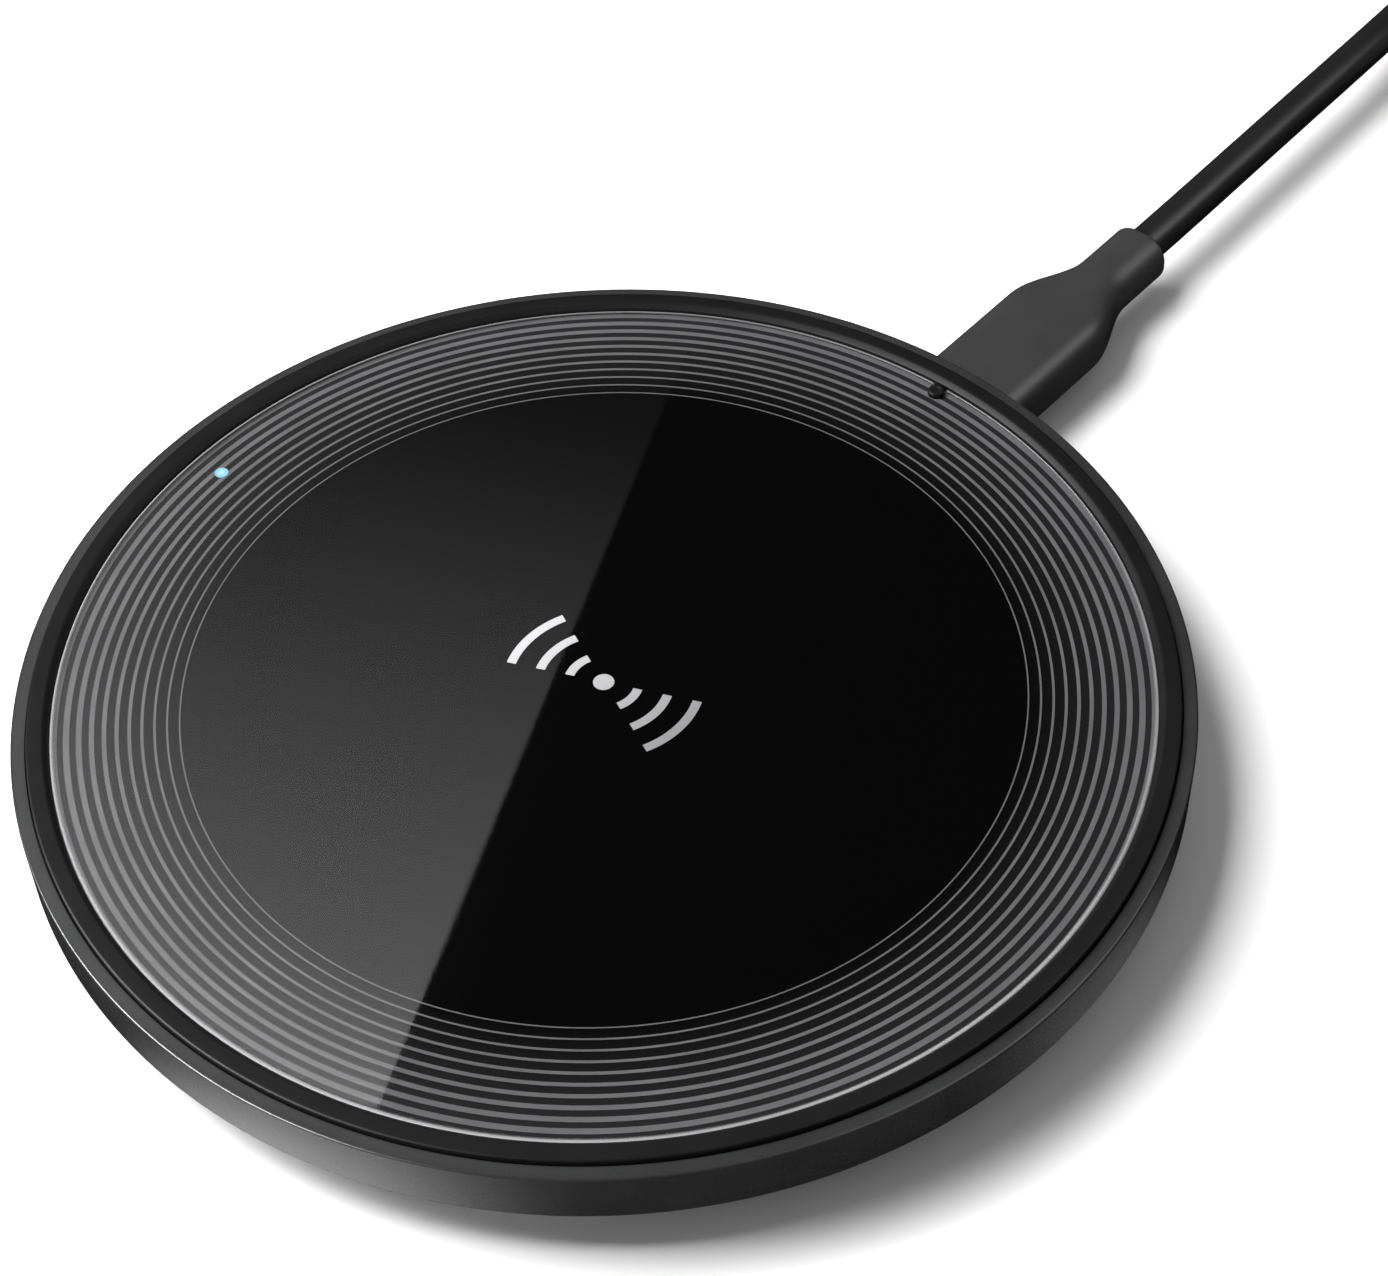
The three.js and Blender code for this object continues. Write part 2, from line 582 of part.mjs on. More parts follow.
function addUsbA() {
  const {
    height, shellWidth, shellHeight, shell, wall, seat, body, relief, tongueHeight, tongueInset,
  } = USB_A;
  const frontY = USB_A_REAR_Y - relief - body;
  const tipY = frontY - shell;
  const floorZ = height / 2 - shellHeight / 2 + wall + PLUG_FIT;
  const length = shell + seat - tongueInset;
  place(lead, "usb_a_overmould", usbABody(), plastic);
  place(lead, "usb_a_shell", usbAShell(), nickel);
  place(lead, "usb_a_insert",
    block(shellWidth - 2 * wall - 2 * FIT, length, floorZ, floorZ + tongueHeight, USB_A_X,
      tipY + tongueInset + length / 2), white);
  for (let i = 0; i < CONTACT.count; i++) {
    const x = USB_A_X + (i - (CONTACT.count - 1) / 2) * CONTACT.spacing;
    place(lead, `usb_a_contact_${i + 1}`,
      block(CONTACT.width, CONTACT.length, floorZ + tongueHeight, floorZ + tongueHeight + CONTACT.thick,
        x, tipY + CONTACT.inset + CONTACT.length / 2), gold);
  }
}

// The wound turns as one ring, lifted where the tie passes under them.
function windSolid() {
  return cut(
    tube(windInner, windOuter, 0, windTop),
    block(TIE.width + 2 * TIE.gap, 2 * (windOuter - windInner), -1, windLift, 0, WIND_RADIUS),
  ).translate(WIND_CENTRE.x, WIND_CENTRE.y, 0);
}

// The hook-and-loop tie: a flat strap round the bundle at its far side.
function tieStrap() {
  const nearest = Math.sqrt(windInner ** 2 - (TIE.width / 2) ** 2) - TIE.gap;
  const farthest = windOuter + TIE.gap;
  const width = farthest - nearest;
  const height = windTop - windLift + 2 * TIE.gap;
  const strap = roundedShape(width + 2 * TIE.thick, height + 2 * TIE.thick, 0.9);
  strap.holes.push(roundedShape(width, height, 0.25));
  return new THREE.ExtrudeGeometry(strap, { depth: TIE.width, bevelEnabled: false, curveSegments: 3 })
    .rotateX(Math.PI / 2)
    .rotateZ(Math.PI / 2)
    .translate(-TIE.width / 2, (nearest + farthest) / 2, height / 2 + TIE.thick)
    .translate(WIND_CENTRE.x, WIND_CENTRE.y, 0);
}

function addLead() {
  place(lead, "usb_c_plug_shell", plugShell(), nickel);
  place(lead, "usb_c_plug_insert", plugInsert(), chip);
  place(lead, "usb_c_overmould", plugBody(), plastic);
  place(lead, "cable_run", cord(RUN_POINTS, 12), rubber);
  place(lead, "cable_coil", windSolid(), rubber);
  place(lead, "cable_tie", tieStrap(), rubber);
  place(lead, "cable_tail", cord(TAIL_POINTS, 3), rubber);
  addUsbA();
}

addHousing();
addCoilStack();
addBoard();
addPort();
addLead();

const charger = new THREE.Group();
charger.add(pad, lead);
export default charger;
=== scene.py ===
"""Looks for a round wireless charging pad and its lead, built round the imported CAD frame.

Everything is in metres in the frame of the part: +Z up out of the charging face, +Y out of the port.
Outlines are written in millimetres and scaled by MM where the mesh is made.
"""
import json
import math

import bmesh
import bpy
from mathutils import Matrix, Vector


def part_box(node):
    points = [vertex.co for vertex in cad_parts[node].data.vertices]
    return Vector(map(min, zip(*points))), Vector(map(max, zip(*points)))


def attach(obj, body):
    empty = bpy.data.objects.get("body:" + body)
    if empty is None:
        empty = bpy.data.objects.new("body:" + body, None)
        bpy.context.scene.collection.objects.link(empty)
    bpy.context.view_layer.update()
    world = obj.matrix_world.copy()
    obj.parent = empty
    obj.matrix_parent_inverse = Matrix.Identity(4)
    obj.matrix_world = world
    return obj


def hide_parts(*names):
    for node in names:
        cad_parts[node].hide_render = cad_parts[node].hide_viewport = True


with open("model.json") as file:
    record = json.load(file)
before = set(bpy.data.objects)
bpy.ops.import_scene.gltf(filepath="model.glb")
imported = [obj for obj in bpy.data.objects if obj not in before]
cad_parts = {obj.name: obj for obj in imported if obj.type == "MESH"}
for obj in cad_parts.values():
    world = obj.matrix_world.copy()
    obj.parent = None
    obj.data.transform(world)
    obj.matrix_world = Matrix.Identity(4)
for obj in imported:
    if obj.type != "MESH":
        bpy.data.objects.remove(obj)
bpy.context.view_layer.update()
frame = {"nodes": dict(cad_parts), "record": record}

MM = 0.001
FINE = 288  # facets round the pad
SMALL = 48  # facets round a small post or dot
ROUND_STEPS = 5  # facets in a rounded corner
ROUND_SHARE = 0.95  # the most of a side that one rounding takes up


def size_of(node):
    """A CAD node's lowest and highest corners, in millimetres."""
    low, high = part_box(node)
    return low / MM, high / MM


# ---- sizes that come from the frame ----
shell_high = size_of("outer_shell")[1]
ring_low, ring_high = size_of("anti_slip_ring")
lens_low, lens_high = size_of("cover_lens")
print_low, print_high = size_of("printed_disc")
base_low, base_high = size_of("base_cover")
foot_high = size_of("foot_ring")[1]
pin_low, pin_high = size_of("lens_locating_pin")
light_low, light_high = size_of("led_light_pipe")
socket_low, socket_high = size_of("usb_c_receptacle_shell")
plug_low, plug_high = size_of("usb_c_plug_shell")
boot_low, boot_high = size_of("usb_c_overmould")
coil_low, coil_high = size_of("cable_coil")
tie_low, tie_high = size_of("cable_tie")
grip_low, grip_high = size_of("usb_a_overmould")
far_shell_low, far_shell_high = size_of("usb_a_shell")

PAD_RADIUS = shell_high.x
RING_OUTER = ring_high.x
LENS_RADIUS = lens_high.x
PORT_Z = (socket_low.z + socket_high.z) / 2
LIGHT_RADIUS = (light_high.x - light_low.x) / 2
LIGHT_CENTRE = (light_low + light_high) / 2
DECK_TOP = ring_low.z
CORD_DIAMETER = 3.8

# ---- the housing, the ring and the foot ----
SEAM_Z = 4.8  # lower edge of the outer wall
SEAM_GAP = 0.1
WALL_INNER = PAD_RADIUS - 1.8
LIP_OUTER = PAD_RADIUS - 1.9  # the base's upright lip, inside the wall
LIP_INNER = PAD_RADIUS - 3.3
BASE_RIM = PAD_RADIUS - 0.6  # widest edge of the base
BASE_FLAT = BASE_RIM - 4.1  # its flat underside ends here
FLOOR_TOP = 2.0  # upper face of the base's floor
PORT_FIT = 0.15  # the port's opening is this much larger than its shell all round
RING_GAP = 0.1  # between the ring and the wall round it
RING_FIT = 0.03  # between the ring and the lens
RING_CREST = 0.42  # the ring is highest this far out from its inner edge
RING_FALL = 0.12  # and this much lower at its outer edge
FOOT_WIDTH = 8
FOOT_FIT = 0.15  # the foot's channel is this much wider, inside and outside
FOOT_GROOVES = 3
GROOVE_HALF = 0.35  # half a groove's width at its mouth
GROOVE_FLOOR_HALF = 0.25
GROOVE_DEPTH = 0.25

# ---- the printed circles ----
CIRCLES = 11
FIRST_CIRCLE = 35.5  # radius
CIRCLE_STEP = 1.047
THINNEST_CIRCLE = 0.12
CIRCLE_GROWTH = 0.044  # each circle's line is this much wider than the last
INK = 0.012  # ink thickness
EDGE_BAND_WIDTH = 0.46  # the lens's edge band starts this far in from its edge; it gets the edge material, with a whitish painted highlight rising across it

# ---- small parts under and beside the lens ----
LENS_UNDER = lens_low.z + 0.05  # the lens's underside stands clear of the ink
WINDOW_FIT = 0.02  # the print's window is this much wider than the light pipe
LIGHT_RIM = print_high.z + INK + 0.015  # the light pipe's top is a very shallow dish
LIGHT_MIDDLE = lens_low.z + 0.02
PIN_TOP = pin_high.z + 0.12
PIN_FIT = 0.06  # the notch round the pin is this much wider than the pin

# ---- the sign in the middle: a dot between widening arcs ----
SIGN_DOT = 0.9
SIGN_ARCS = (3.0, 5.6, 8.2)  # radii
SIGN_STROKE = 0.8
SIGN_OPENING = 24  # degrees either side of the X axis
SIGN_STEPS = 24  # facets along an arc

# ---- the camera, at the photograph's angle ----
CAMERA_AT = Vector((127.08, -128.52, 210.53)) * MM
CAMERA_HEADING = 132.23  # degrees, anticlockwise from +X
CAMERA_TILT = 47.34  # degrees below the horizon
CAMERA_ROLL = -2.22
CAMERA_LENS = 83.5
SENSOR_WIDTH = 36.0


def make_camera():
    heading, tilt, roll = map(math.radians, (CAMERA_HEADING, CAMERA_TILT, CAMERA_ROLL))
    ahead = Vector((
        math.cos(heading) * math.cos(tilt),
        math.sin(heading) * math.cos(tilt),
        -math.sin(tilt),
    ))
    level = ahead.cross(Vector((0, 0, 1))).normalized()
    above = level.cross(ahead)
    right = level * math.cos(roll) + above * math.sin(roll)
    up = above * math.cos(roll) - level * math.sin(roll)
    data = bpy.data.cameras.new("camera")
    data.lens = CAMERA_LENS
    data.sensor_width = SENSOR_WIDTH
    data.clip_start = 0.01
    camera = bpy.data.objects.new("camera", data)
    facing = Matrix((right, up, -ahead)).transposed().to_4x4()
    camera.matrix_world = Matrix.Translation(CAMERA_AT) @ facing
    bpy.context.scene.collection.objects.link(camera)
    bpy.context.scene.camera = camera


make_camera()

# ---- the cord: the run's points as in the CAD, then the wound turns, then the tail ----
CORD_START = (0, 77.0, 5)  # inside the near plug's neck
RUN_POINTS = [
    (0, 78.6, 5), (0, 84, 5), (-0.1, 95, 5), (-0.2, 106, 5), (-0.3, 116, 4.95),
    (-0.55, 122, 4.65), (-1, 127, 4.05), (-1.6, 131.5, 3.3), (-2.2, 137.2, 2.4),
]
RUN_TO_TURNS = (-2.45, 144, 1.92)
TAIL_POINTS = [(50.7, 145.5, 5.45), (50.7, 141, 5.05), (50.7, 137.2, 4.5), (50.7, 133.3, 4.05)]
CORD_END = (50.7, 131.5, 4)  # inside the far plug
COIL_CENTRE = ((coil_low + coil_high) / 2).xy
OUTER_LANE = coil_high.x - COIL_CENTRE.x - CORD_DIAMETER / 2
COIL_TURNS = 5.5
POINTS_PER_TURN = 24
TIE_ANGLE = 90  # degrees along the winding, from where the cord comes in
TIE_LIFT = 0.8  # the turns pass over the strap here
TIE_FLAT = 10  # degrees either side of the tie at full lift
TIE_SPREAD = 38  # degrees either side at which the lift has gone
# Winding steps: (degrees from, degrees to, lanes inwards, layers up).
WINDING_STEPS = [
    (310, 350, 1, 0), (670, 710, 1, 0), (990, 1030, 0, 1), (1310, 1350, -1, 0), (1670, 1710, -1, 0),
]


def ease(value, start, end):
    """Rises smoothly from 0 at the start to 1 at the end."""
    t = min(max((value - start) / (end - start), 0.0), 1.0)
    return t * t * (3 - 2 * t)


def winding_point(degrees):
    """The cord's middle at an angle along the winding, counted from where the cord comes in."""
    inwards = sum(lanes * ease(degrees, a, b) for a, b, lanes, _ in WINDING_STEPS)
    up = sum(layers * ease(degrees, a, b) for a, b, _, layers in WINDING_STEPS)
    radius = OUTER_LANE - CORD_DIAMETER * inwards
    off_tie = abs((degrees - TIE_ANGLE + 180) % 360 - 180)
    lift = TIE_LIFT * (1 - ease(off_tie, TIE_FLAT, TIE_SPREAD))
    angle = math.radians(180 - degrees)
    return (
        COIL_CENTRE.x + radius * math.cos(angle),
        COIL_CENTRE.y + radius * math.sin(angle),
        CORD_DIAMETER * (0.5 + up) + lift,
    )


def cord_points():
    steps = int(COIL_TURNS * POINTS_PER_TURN)
    wound = [winding_point(360 * COIL_TURNS * i / steps) for i in range(steps + 1)]
    return [CORD_START] + RUN_POINTS + [RUN_TO_TURNS] + wound + TAIL_POINTS + [CORD_END]


def make_cord():
    points = cord_points()
    curve = bpy.data.curves.new("cable", "CURVE")
    curve.dimensions = "3D"
    curve.bevel_depth = CORD_DIAMETER / 2 * MM
    curve.bevel_resolution = 6
    curve.resolution_u = 6
    curve.use_fill_caps = True
    spline = curve.splines.new("BEZIER")
    spline.bezier_points.add(len(points) - 1)
    for knot, point in zip(spline.bezier_points, points):
        knot.co = Vector(point) * MM
        knot.handle_left_type = knot.handle_right_type = "AUTO"
    cable = bpy.data.objects.new("cable", curve)
    bpy.context.scene.collection.objects.link(cable)
    return cable


cable = make_cord()


# ---- mesh helpers ----
def finish_mesh(name, bm, sharp=35):
    """Makes a smooth-shaded object of the mesh; edges over the angle, in degrees, stay sharp."""
    bmesh.ops.remove_doubles(bm, verts=bm.verts, dist=1e-7)
    bmesh.ops.recalc_face_normals(bm, faces=bm.faces)
    for face in bm.faces:
        face.smooth = True
    mesh = bpy.data.meshes.new(name)
    bm.to_mesh(mesh)
    bm.free()
    mesh.set_sharp_from_angle(angle=math.radians(sharp))
    made = bpy.data.objects.new(name, mesh)
    bpy.context.scene.collection.objects.link(made)
    return made


def rounded(corners, steps=ROUND_STEPS):
    """An outline whose corners (x, y, radius) are rounded; a corner without a radius stays sharp."""
    points = []
    for i, corner in enumerate(corners):
        here = Vector(corner[:2])
        radius = corner[2] if len(corner) > 2 else 0
        if not radius:
            points.append(here)
            continue
        before = Vector(corners[i - 1][:2]) - here
        after = Vector(corners[(i + 1) % len(corners)][:2]) - here
        bend = before.angle(after) / 2
        reach = min(radius / math.tan(bend), ROUND_SHARE * before.length, ROUND_SHARE * after.length)
        centre_off = reach / math.cos(bend)
        middle = (before.normalized() + after.normalized()).normalized() * centre_off + here
        first = here + before.normalized() * reach - middle
        last = here + after.normalized() * reach - middle
        sweep = first.angle_signed(last)
        for k in range(steps + 1):
            turned_by = Matrix.Rotation(-sweep * k / steps, 2)
            points.append(middle + turned_by @ first)
    return points


def turned(name, outline, facets=FINE):
    """A closed outline of (radius, height) in millimetres turned round the Z axis."""
    bm = bmesh.new()
    rings = []
    for radius, height in outline:
        count = facets if radius > 1e-4 else 1
        rings.append([
            bm.verts.new((
                radius * MM * math.cos(2 * math.pi * i / facets),
                radius * MM * math.sin(2 * math.pi * i / facets),
                height * MM,
            ))
            for i in range(count)
        ])
    for here, there in zip(rings, rings[1:] + rings[:1]):
        if len(here) == 1 and len(there) == 1:
            continue
        for i in range(facets):
            corners = [here[i % len(here)], here[(i + 1) % len(here)],
                       there[(i + 1) % len(there)], there[i % len(there)]]
            bm.faces.new(list(dict.fromkeys(corners)))
    return finish_mesh(name, bm)


def lofted(name, sections, sharp=50):
    """Closed sections of equal length, in millimetres, joined one to the next and capped at both ends."""
    bm = bmesh.new()
    rings = [[bm.verts.new(Vector(p) * MM) for p in section] for section in sections]
    for here, there in zip(rings, rings[1:]):
        for i in range(len(here)):
            k = (i + 1) % len(here)
            bm.faces.new((here[i], here[k], there[k], there[i]))
    bm.faces.new(rings[0])
    bm.faces.new(list(reversed(rings[-1])))
    return finish_mesh(name, bm, sharp)


def rounded_section(half_width, half_height, radius, steps):
    """Points round a rectangle with round corners, centred on the origin."""
    radius = min(radius, half_width - 1e-3, half_height - 1e-3)
    points = []
    for quarter, (sx, sy) in enumerate(((1, 1), (-1, 1), (-1, -1), (1, -1))):
        for k in range(steps + 1):
            angle = math.pi / 2 * (quarter + k / steps)
            points.append((
                sx * (half_width - radius) + radius * math.cos(angle),
                sy * (half_height - radius) + radius * math.sin(angle),
            ))
    return points


def bar_along_y(name, half_width, half_height, radius, y_low, y_high, x, z, edge=0.1, steps=10):
    """A bar with a rounded section and softened ends."""
    sections = []
    for inset, y in ((edge, y_low), (edge * 0.3, y_low + edge * 0.3), (0, y_low + edge),
                     (0, y_high - edge), (edge * 0.3, y_high - edge * 0.3), (edge, y_high)):
        outline = rounded_section(half_width - inset, half_height - inset, radius - inset, steps)
        sections.append([(x + px, y, z + pz) for px, pz in outline])
    return lofted(name, sections)


def carve(piece, *cutters):
    """Cuts each cutter out of the piece, and keeps the result as the piece's own mesh."""
    for cutter in cutters:
        modifier = piece.modifiers.new("cut", "BOOLEAN")
        modifier.operation = "DIFFERENCE"
        modifier.solver = "EXACT"
        modifier.object = cutter
        evaluated = piece.evaluated_get(bpy.context.evaluated_depsgraph_get())
        result = bpy.data.meshes.new_from_object(evaluated)
        piece.modifiers.clear()
        piece.data = result
        bpy.data.objects.remove(cutter)
    piece.data.set_sharp_from_angle(angle=math.radians(35))
    return piece


def upright(name, radius, low, high, x, y):
    """A plain round cutter or post standing on Z."""
    post = turned(name, [(0, low), (radius, low), (radius, high), (0, high)], facets=SMALL)
    post.data.transform(Matrix.Translation(Vector((x, y, 0)) * MM))
    return post


# ---- materials ----
NOISE_LOW = 0.3  # most of a noise texture's values lie between these
NOISE_HIGH = 0.7
MOTTLE_MM = 6.0  # size of the patches of uneven colour
POLISH_SPREAD = 0.05
SCRATCH_MM = 0.15
SCRATCH_DEPTH_MM = 0.0015
GLANCE_POWER = 5.0  # how sharply the lens mirrors more as it is seen at a glance
GLANCE_SHARE = 0.95
HEAD_ON_SHARE = 0.045


class Nodes:
    """A material's node tree, with short names for what every material here is made of."""

    def __init__(self, name):
        self.material = bpy.data.materials.new(name)
        self.material.use_nodes = True
        self.tree = self.material.node_tree
        self.shader = self.tree.nodes["Principled BSDF"]
        self.output = self.tree.nodes["Material Output"]
        self.place = self.add("ShaderNodeTexCoord").outputs["Object"]

    def add(self, kind, **values):
        node = self.tree.nodes.new(kind)
        for key, value in values.items():
            if hasattr(node, key):
                setattr(node, key, value)
            else:
                node.inputs[key.replace("_", " ")].default_value = value
        return node

    def link(self, source, target):
        self.tree.links.new(source, target)

    def set(self, **values):
        for key, value in values.items():
            self.shader.inputs[key.replace("_", " ")].default_value = value

    def noise(self, size_mm, detail=2.0, roughness=0.5):
        node = self.add("ShaderNodeTexNoise", Scale=1 / (size_mm * MM), Detail=detail, Roughness=roughness)
        self.link(self.place, node.inputs["Vector"])
        return node.outputs["Fac"]

    def spread(self, source, low, high):
        node = self.add("ShaderNodeMapRange")
        node.inputs["From Min"].default_value = NOISE_LOW
        node.inputs["From Max"].default_value = NOISE_HIGH
        node.inputs["To Min"].default_value = low
        node.inputs["To Max"].default_value = high
        self.link(source, node.inputs["Value"])
        return node.outputs["Result"]

    def tint(self, source, dark, light, socket_name="Base Color"):
        node = self.add("ShaderNodeMix", data_type="RGBA")
        for socket in node.inputs:
            if socket.type == "RGBA" and socket.name == "A":
                socket.default_value = (*dark, 1)
            if socket.type == "RGBA" and socket.name == "B":
                socket.default_value = (*light, 1)
        self.link(source, node.inputs["Factor"])
        colour = next(s for s in node.outputs if s.type == "RGBA")
        self.link(colour, self.shader.inputs[socket_name])

    def bump(self, source, height_mm):
        node = self.add("ShaderNodeBump", Strength=1.0, Distance=height_mm * MM)
        self.link(source, node.inputs["Height"])
        self.link(node.outputs["Normal"], self.shader.inputs["Normal"])


def moulded(name, colour, roughness, grain_mm=0.12, grain_height_mm=0.004, mottle=0.12, **sockets):
    """Moulded plastic or rubber: a fine grain, a faint unevenness of colour and of polish."""
    m = Nodes(name)
    soft = m.noise(MOTTLE_MM, detail=3.0)
    dark = [c * (1 - mottle) for c in colour]
    light = [c * (1 + mottle) for c in colour]
    m.tint(m.spread(soft, 0, 1), dark, light)
    grain = m.noise(grain_mm, detail=3.0)
    polish = m.spread(grain, roughness - POLISH_SPREAD, roughness + POLISH_SPREAD)
    m.link(polish, m.shader.inputs["Roughness"])
    m.bump(grain, grain_height_mm)
    m.set(**sockets)
    return m.material


def metal(name, colour, roughness):
    """Plated or brushed metal: fine streaks in its polish."""
    m = Nodes(name)
    streak = m.noise(SCRATCH_MM, detail=4.0, roughness=0.7)
    m.tint(m.spread(streak, 0, 1), [c * 0.9 for c in colour], colour)
    m.link(m.spread(streak, roughness - 0.07, roughness + 0.08), m.shader.inputs["Roughness"])
    m.bump(streak, SCRATCH_DEPTH_MM)
    m.set(Metallic=1.0)
    return m.material


def clear_lens(name, polish, shine=1.0, painted_glint=0.0):
    """A clear sheet that mirrors a little, more at a glance; the last argument mixes in a whitish diffuse
    towards its edge, a painted highlight.
    """
    m = Nodes(name)
    m.tree.nodes.remove(m.shader)
    facing = m.add("ShaderNodeLayerWeight", Blend=0.5).outputs["Facing"]
    steep = m.add("ShaderNodeMath", operation="POWER")
    m.link(facing, steep.inputs[0])
    steep.inputs[1].default_value = GLANCE_POWER
    share = m.add("ShaderNodeMath", operation="MULTIPLY_ADD")
    m.link(steep.outputs[0], share.inputs[0])
    share.inputs[1].default_value = GLANCE_SHARE * shine
    share.inputs[2].default_value = HEAD_ON_SHARE * shine
    through = m.add("ShaderNodeBsdfTransparent")
    mirror = m.add("ShaderNodeBsdfGlossy", Roughness=polish)
    mix = m.add("ShaderNodeMixShader")
    m.link(share.outputs[0], mix.inputs["Fac"])
    m.link(through.outputs[0], mix.inputs[1])
    m.link(mirror.outputs[0], mix.inputs[2])
    if not painted_glint:
        m.link(mix.outputs[0], m.output.inputs["Surface"])
        return m.material
    flat = m.add("ShaderNodeVectorMath", operation="MULTIPLY")
    m.link(m.place, flat.inputs[0])
    flat.inputs[1].default_value = (1, 1, 0)
    far = m.add("ShaderNodeVectorMath", operation="LENGTH")
    m.link(flat.outputs["Vector"], far.inputs[0])
    # painted highlight: a whitish diffuse that rises towards the lens's edge, standing in for the edge's
    # glint
    glint_share = m.add("ShaderNodeMapRange", interpolation_type="SMOOTHSTEP")
    glint_share.inputs["From Min"].default_value = (LENS_RADIUS - EDGE_BAND_WIDTH) * MM
    glint_share.inputs["From Max"].default_value = LENS_RADIUS * MM
    glint_share.inputs["To Max"].default_value = painted_glint
    m.link(far.outputs["Value"], glint_share.inputs["Value"])
    glint_paint = m.add("ShaderNodeBsdfDiffuse", Color=(0.9, 0.9, 0.92, 1))
    edge = m.add("ShaderNodeMixShader")
    m.link(glint_share.outputs["Result"], edge.inputs["Fac"])
    m.link(mix.outputs[0], edge.inputs[1])
    m.link(glint_paint.outputs[0], edge.inputs[2])
    m.link(edge.outputs[0], m.output.inputs["Surface"])
    return m.material


def printed_film():
    """Black film with painted light: greyer from just outside the first circle out to the lens's edge."""
    m = Nodes("printed_film")
    far = m.add("ShaderNodeVectorMath", operation="LENGTH")
    m.link(m.place, far.inputs[0])
    share = m.add("ShaderNodeMapRange")
    share.inputs["From Min"].default_value = (FIRST_CIRCLE + 1) * MM
    share.inputs["From Max"].default_value = LENS_RADIUS * MM
    m.link(far.outputs["Value"], share.inputs["Value"])
    # painted light: the film's grey rises towards the lens's edge
    m.tint(share.outputs["Result"], (0.0014, 0.0014, 0.0015), (0.014, 0.014, 0.0145))
    m.set(Roughness=0.6, Specular_IOR_Level=0.0)
    return m.material


def silver_ink_painted_sheen():
    """Silver ink with a painted sheen: lighter towards -X, where the lamps are, and darker towards +X."""
    m = Nodes("silver_ink_painted_sheen")
    parts = m.add("ShaderNodeSeparateXYZ")
    m.link(m.place, parts.inputs[0])
    share = m.add("ShaderNodeMapRange")
    share.inputs["From Min"].default_value = -SIGN_ARCS[-1] * MM
    share.inputs["From Max"].default_value = SIGN_ARCS[-1] * MM
    m.link(parts.outputs["X"], share.inputs["Value"])
    # painted sheen: the ink runs from light at -X to dark at +X
    m.tint(share.outputs["Result"], (0.43, 0.43, 0.44), (0.19, 0.19, 0.195))
    m.set(Roughness=0.4, Specular_IOR_Level=0.3)
    return m.material


def lit_window(name, core, edge, strength):
    """The status light: a bright middle and a tinted edge."""
    m = Nodes(name)
    centre = LIGHT_CENTRE * MM
    shift = m.add("ShaderNodeVectorMath", operation="SUBTRACT")
    m.link(m.place, shift.inputs[0])
    shift.inputs[1].default_value = (centre.x, centre.y, light_high.z * MM)
    far = m.add("ShaderNodeVectorMath", operation="LENGTH")
    m.link(shift.outputs["Vector"], far.inputs[0])
    share = m.add("ShaderNodeMapRange")
    share.inputs["From Max"].default_value = LIGHT_RADIUS * MM
    m.link(far.outputs["Value"], share.inputs["Value"])
    m.tint(share.outputs["Result"], core, edge, "Emission Color")
    m.set(Emission_Strength=strength, Roughness=0.3, Base_Color=(0.02, 0.03, 0.035, 1))
    return m.material


def make_materials():
    return {
        "housing": moulded("housing_plastic", (0.021, 0.0213, 0.0217), 0.3, Specular_IOR_Level=0.26),
        "ring": moulded("ring_rubber", (0.006, 0.006, 0.0062), 0.46, grain_mm=0.08,
                        Specular_IOR_Level=0.09),
        "foot": moulded("foot_rubber", (0.02, 0.02, 0.021), 0.75, grain_mm=0.1, grain_height_mm=0.006),
        "boot": moulded("boot_rubber", (0.026, 0.026, 0.0262), 0.4, grain_mm=0.06,
                        grain_height_mm=0.001),
        "jacket": moulded("cord_jacket", (0.009, 0.009, 0.0092), 0.36, grain_mm=0.06,
                          grain_height_mm=0.001),
        "print": printed_film(),
        "ink": moulded("ring_ink", (0.085, 0.085, 0.088), 0.6, grain_mm=0.05, grain_height_mm=0,
                       Specular_IOR_Level=0.0),
        "silver": silver_ink_painted_sheen(),
        "lens": clear_lens("clear_lens", 0.02),
        # lens_edge: its whitish diffuse towards the rim is a painted highlight
        "lens_edge": clear_lens("lens_edge", 0.25, shine=1.5, painted_glint=0.42),
        "lens_under": clear_lens("lens_underside", 0.1, shine=0.02),
        "light": lit_window("status_light", (0.5, 0.85, 0.97), (0.18, 0.5, 0.7), 1.15),
        "adhesive": moulded("adhesive_film", (0.6, 0.56, 0.46), 0.6),
        "copper": metal("coil_copper", (0.72, 0.33, 0.16), 0.35),
        "ferrite": moulded("sintered_ferrite", (0.05, 0.05, 0.052), 0.6, grain_mm=0.3, mottle=0.3),
        "steel": metal("zinc_steel", (0.5, 0.51, 0.53), 0.4),
        "board": moulded("board_mask", (0.02, 0.13, 0.05), 0.35, grain_mm=0.4, mottle=0.25),
        "chip": moulded("chip_epoxy", (0.02, 0.02, 0.021), 0.6, grain_mm=0.05),
        "ceramic": moulded("capacitor_ceramic", (0.42, 0.3, 0.17), 0.5, grain_mm=0.2),
        "nickel": metal("nickel_plate", (0.68, 0.69, 0.71), 0.24),
        "gold": metal("gold_contact", (0.83, 0.6, 0.22), 0.25),
        "white": moulded("white_plastic", (0.75, 0.75, 0.72), 0.45),
    }


MATERIALS = make_materials()
CAD_LOOKS = {
    "adhesive": "adhesive", "light_pipe": "light", "copper": "copper", "ferrite": "ferrite",
    "steel": "steel", "circuit_board": "board", "chip_black": "chip", "ceramic_tan": "ceramic",
    "nickel": "nickel", "gold_contact": "gold", "white_plastic": "white", "housing_plastic": "housing",
    "soft_rubber": "ring", "lens_clear": "print", "printed_film": "print", "cord_jacket": "jacket",
}


